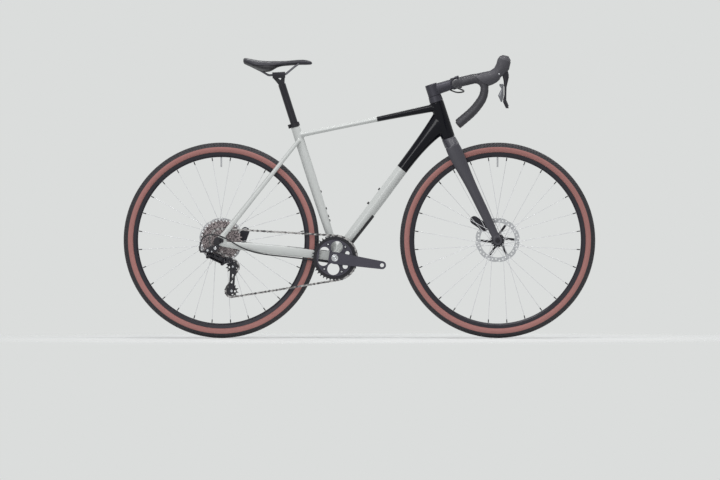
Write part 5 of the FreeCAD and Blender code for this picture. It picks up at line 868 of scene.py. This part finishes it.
# Each part of the chain: its body, and for a part between two bodies the second body and the two places it
# runs between; such a part is left on no body.
CHAIN_PARTS = {
    "chain_drive": ("frame",),
    "chain_drop": ("frame", "derailleur_base", DROP_START, DROP_END),
    "chain_cage": ("cage",),
    "chain_tail": ("lower_knuckle", "cage", RETURN_END, LOWER_REAR),
    "chain_return": ("frame", "derailleur_base", RETURN_START, RETURN_END),
}


def chain_part(place):
    """The part of the chain that a link with its centre at a place belongs to."""
    along = (place.x - LOWER_REAR.x) / (LOWER_FRONT.x - LOWER_REAR.x)
    line = LOWER_REAR.lerp(LOWER_FRONT, along)
    if 0 < along < 1 and abs(place.z - line.z) < LOWER_HALF_DEPTH:
        return "chain_tail" if place.x < RETURN_END.x else "chain_return"
    if place.x < CAGE_RUN_BACK and place.z < CAGE_RUN_TOP:
        return "chain_cage"
    if place.x < CAGE_RUN_BACK and place.z < DROP_TOP:
        return "chain_drop"
    return "chain_drive"


def split_chain():
    """The chain's links, gathered into parts on the sprockets, on the pulleys and on the runs between."""
    welded = bmesh.new()
    welded.from_mesh(NODES["chain"].data)
    bmesh.ops.remove_doubles(welded, verts=welded.verts, dist=WELD)
    gathered = {name: ([], []) for name in CHAIN_PARTS}
    done = set()
    for seed in welded.verts:
        if seed in done:
            continue
        link = [seed]
        done.add(seed)
        for corner in link:
            for edge in corner.link_edges:
                other = edge.other_vert(corner)
                if other not in done:
                    done.add(other)
                    link.append(other)
        centre = sum((corner.co for corner in link), Vector()) / len(link)
        points, faces = gathered[chain_part(centre)]
        number = {corner: len(points) + index for index, corner in enumerate(link)}
        points += [corner.co.copy() for corner in link]
        link_faces = dict.fromkeys(face for corner in link for face in corner.link_faces)
        faces += [tuple(number[corner] for corner in face.verts) for face in link_faces]
    welded.free()
    for name, (points, faces) in gathered.items():
        body, *bend = CHAIN_PARTS[name]
        made = piece(name, points, faces, chain_steel, None if bend else body)
        made.data.set_sharp_from_angle(angle=SHARP_EDGE)
        if bend:
            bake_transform(made)
        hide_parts("chain")


split_chain()


# Hoses and housing

cable_skin = finish("cable_plastic", srgb(34, 33, 37), 0.42, grain=0.0007, relief=0.00002)


def meshed(line_object):
    """The mesh that a curve shows."""
    bpy.context.view_layer.update()
    return bpy.data.meshes.new_from_object(line_object.evaluated_get(bpy.context.evaluated_depsgraph_get()))


def cord(name, route, diameter, node, body, moving_end=None):
    """One smooth hose or housing along its route, from the object and back into it.
    A moving end names the body that carries the far end and the places between which the cord would bend to
    it; these are not used, and such a cord is left on no body."""
    line = bpy.data.curves.new(name, "CURVE")
    line.dimensions = "3D"
    line.resolution_u = 14
    spline = line.splines.new("NURBS")
    spline.points.add(len(route) - 1)
    for point, place in zip(spline.points, route):
        point.co = (*place, 1)
    spline.order_u = 3
    spline.use_endpoint_u = True
    line.materials.append(cable_skin.material)
    made = bpy.data.objects.new(name, line)
    bpy.context.scene.collection.objects.link(made)
    path = None
    if moving_end:
        path = [Vector(point.co) for point in meshed(made).vertices]
    line.bevel_depth = diameter / 2
    line.bevel_resolution = 5
    line.use_fill_caps = True
    if moving_end:
        tube = meshed(made)
        bpy.data.objects.remove(made)
        made = bpy.data.objects.new(name, tube)
        bpy.context.scene.collection.objects.link(made)
        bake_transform(made)
    else:
        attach(made, body)
    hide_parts(node)


# Each brake hose from under the bar to the stem: ahead of the bar's centre, out and up, in millimetres.
HOSE_ROUTE = ((4.1, 58, -17.2), (17.1, 49.9, -23.1), (27, 38.3, -27), (29, 26.1, -31.2), (20, 15.1, -34),
              (4.9, 9.3, -35), (-9, 7, -31.2), (-22, 5.8, -24.9))
CABLE_WIDE = 0.005
for word, side in (("right", -1), ("left", 1)):
    route = [BAR + Vector((ahead, side * out, up)) / 1000 for ahead, out, up in HOSE_ROUTE]
    cord("brake_hose_" + word, route, CABLE_WIDE, "control_cables", "steering")

# The shift housing under the right chainstay and round to the derailleur, in millimetres.
HOUSING_ROUTE = ((-112, -22, 274), (-187.4, -32, 285.4), (-277.6, -41, 295.6), (-367.8, -53.5, 305.8),
                 (-431, -88, 329), (-485.6, -92, 365), (-532.5, -92, 378), (-565, -91.1, 369),
                 (-577.7, -90.2, 336), (-576, -89, 318.5))
# The housing's loop runs between these places, near the derailleur. A sleeve stands on its end.
LOOP_TOP = Vector((-0.5325, -0.092, 0.376))
LOOP_FOOT = Vector((-0.5775, -0.090, 0.328))
SLEEVE = Vector((-0.5762, -0.0891, 0.3200))
SLEEVE_RUN = Vector((0.0017, 0.0012, -0.0175))
SLEEVE_PROFILE = ((0.0026, -0.0130), (0.0034, -0.0126), (0.0034, -0.0004), (0.0040, 0.0004),
                  (0.0040, 0.0026), (0.0026, 0.0036))
cord("shift_housing", [Vector(place) / 1000 for place in HOUSING_ROUTE], CABLE_WIDE,
     "shift_cable_housing", "frame", moving_end=("derailleur_base", LOOP_TOP, LOOP_FOOT))
turned("housing_ferrule", SLEEVE_PROFILE, SLEEVE, SLEEVE_RUN, plastic, "derailleur_base", count=24)


# Studio

BACKDROP = srgb(219, 221, 220)
ROOM_LIGHT = srgb(243, 243, 245)
ROOM_STRENGTH = 0.62
VIEW_WIDTH = 2.601
VIEW_CENTRE = Vector((0.002, 0, 0.354))
VIEW_TILT = math.radians(1.0)
VIEW_BACK = 6.0

world = bpy.data.worlds.new("studio")
bpy.context.scene.world = world
world.use_nodes = True
tree = world.node_tree
tree.nodes.clear()
output = tree.nodes.new("ShaderNodeOutputWorld")
blend = tree.nodes.new("ShaderNodeMixShader")
rays = tree.nodes.new("ShaderNodeLightPath")
seen = tree.nodes.new("ShaderNodeMath")
seen.operation = "ADD"
shown = tree.nodes.new("ShaderNodeMath")
shown.operation = "ADD"
shown.use_clamp = True
light = tree.nodes.new("ShaderNodeBackground")
light.inputs["Color"].default_value = ROOM_LIGHT
light.inputs["Strength"].default_value = ROOM_STRENGTH
plain = tree.nodes.new("ShaderNodeBackground")
plain.inputs["Color"].default_value = BACKDROP
plain.inputs["Strength"].default_value = 1.0
tree.links.new(rays.outputs["Is Camera Ray"], seen.inputs[0])
tree.links.new(rays.outputs["Is Glossy Ray"], seen.inputs[1])
tree.links.new(seen.outputs[0], shown.inputs[0])
tree.links.new(rays.outputs["Is Transmission Ray"], shown.inputs[1])
tree.links.new(shown.outputs[0], blend.inputs["Fac"])
tree.links.new(light.outputs[0], blend.inputs[1])
tree.links.new(plain.outputs[0], blend.inputs[2])
tree.links.new(blend.outputs[0], output.inputs["Surface"])


def softbox(name, place, target, width, height, power):
    """A rectangular lamp that faces a target."""
    lamp = bpy.data.lights.new(name, "AREA")
    lamp.shape = "RECTANGLE"
    lamp.size = width
    lamp.size_y = height
    lamp.energy = power
    made = bpy.data.objects.new(name, lamp)
    made.location = place
    made.rotation_mode = "QUATERNION"
    made.rotation_quaternion = (target - place).to_track_quat("-Z", "Y")
    bpy.context.scene.collection.objects.link(made)


AIM = Vector((0, 0, 0.5))
softbox("overhead_softbox", Vector((0.2, -0.6, 3.2)), AIM, width=3.4, height=0.5, power=52)
softbox("front_softbox", Vector((-1.2, -3.4, 2.0)), AIM, width=0.9, height=1.9, power=34)
softbox("back_softbox", Vector((1.0, 3.2, 2.4)), AIM, width=2.4, height=0.8, power=28)

# A floor that fades out beyond the part's shadow.
FLOOR_SHARES = (0.62, 1, 1)
FADE_START = 0.5
FADE_END = 1.35
FLOOR_HALF = 4.0
FLOOR_DROP = 0.0005
floor_finish = Finish("studio_floor")
reach = floor_finish.add("ShaderNodeVectorMath", operation="LENGTH")
floor_finish.feed(reach.inputs[0], floor_finish.stretch(FLOOR_SHARES))
floor_tone = floor_finish.mix(floor_finish.noise(0.4, 3), shade(BACKDROP, 0.985), shade(BACKDROP, 1.01))
floor_finish.set(Base_Color=floor_tone, Roughness=0.9, Specular_IOR_Level=0.1)
floor_finish.set(Alpha=floor_finish.step(reach.outputs["Value"], FADE_START, FADE_END, 1, 0))
floor_mesh = bpy.data.meshes.new("studio_floor")
square = ((-1, -1), (1, -1), (1, 1), (-1, 1))
floor_mesh.from_pydata([(x * FLOOR_HALF, y * FLOOR_HALF, 0) for x, y in square], [], [(0, 1, 2, 3)])
floor_mesh.materials.append(floor_finish.material)
floor = bpy.data.objects.new("studio_floor", floor_mesh)
floor.location.z = -FLOOR_DROP
bpy.context.scene.collection.objects.link(floor)

lens = bpy.data.cameras.new("photo_view")
lens.type = "ORTHO"
lens.ortho_scale = VIEW_WIDTH
camera = bpy.data.objects.new("photo_view", lens)
look = Vector((0, math.cos(VIEW_TILT), -math.sin(VIEW_TILT)))
camera.location = VIEW_CENTRE - look * VIEW_BACK
camera.rotation_mode = "QUATERNION"
camera.rotation_quaternion = look.to_track_quat("-Z", "Y")
bpy.context.scene.collection.objects.link(camera)
bpy.context.scene.camera = camera
bpy.context.scene.view_settings.view_transform = "Standard"
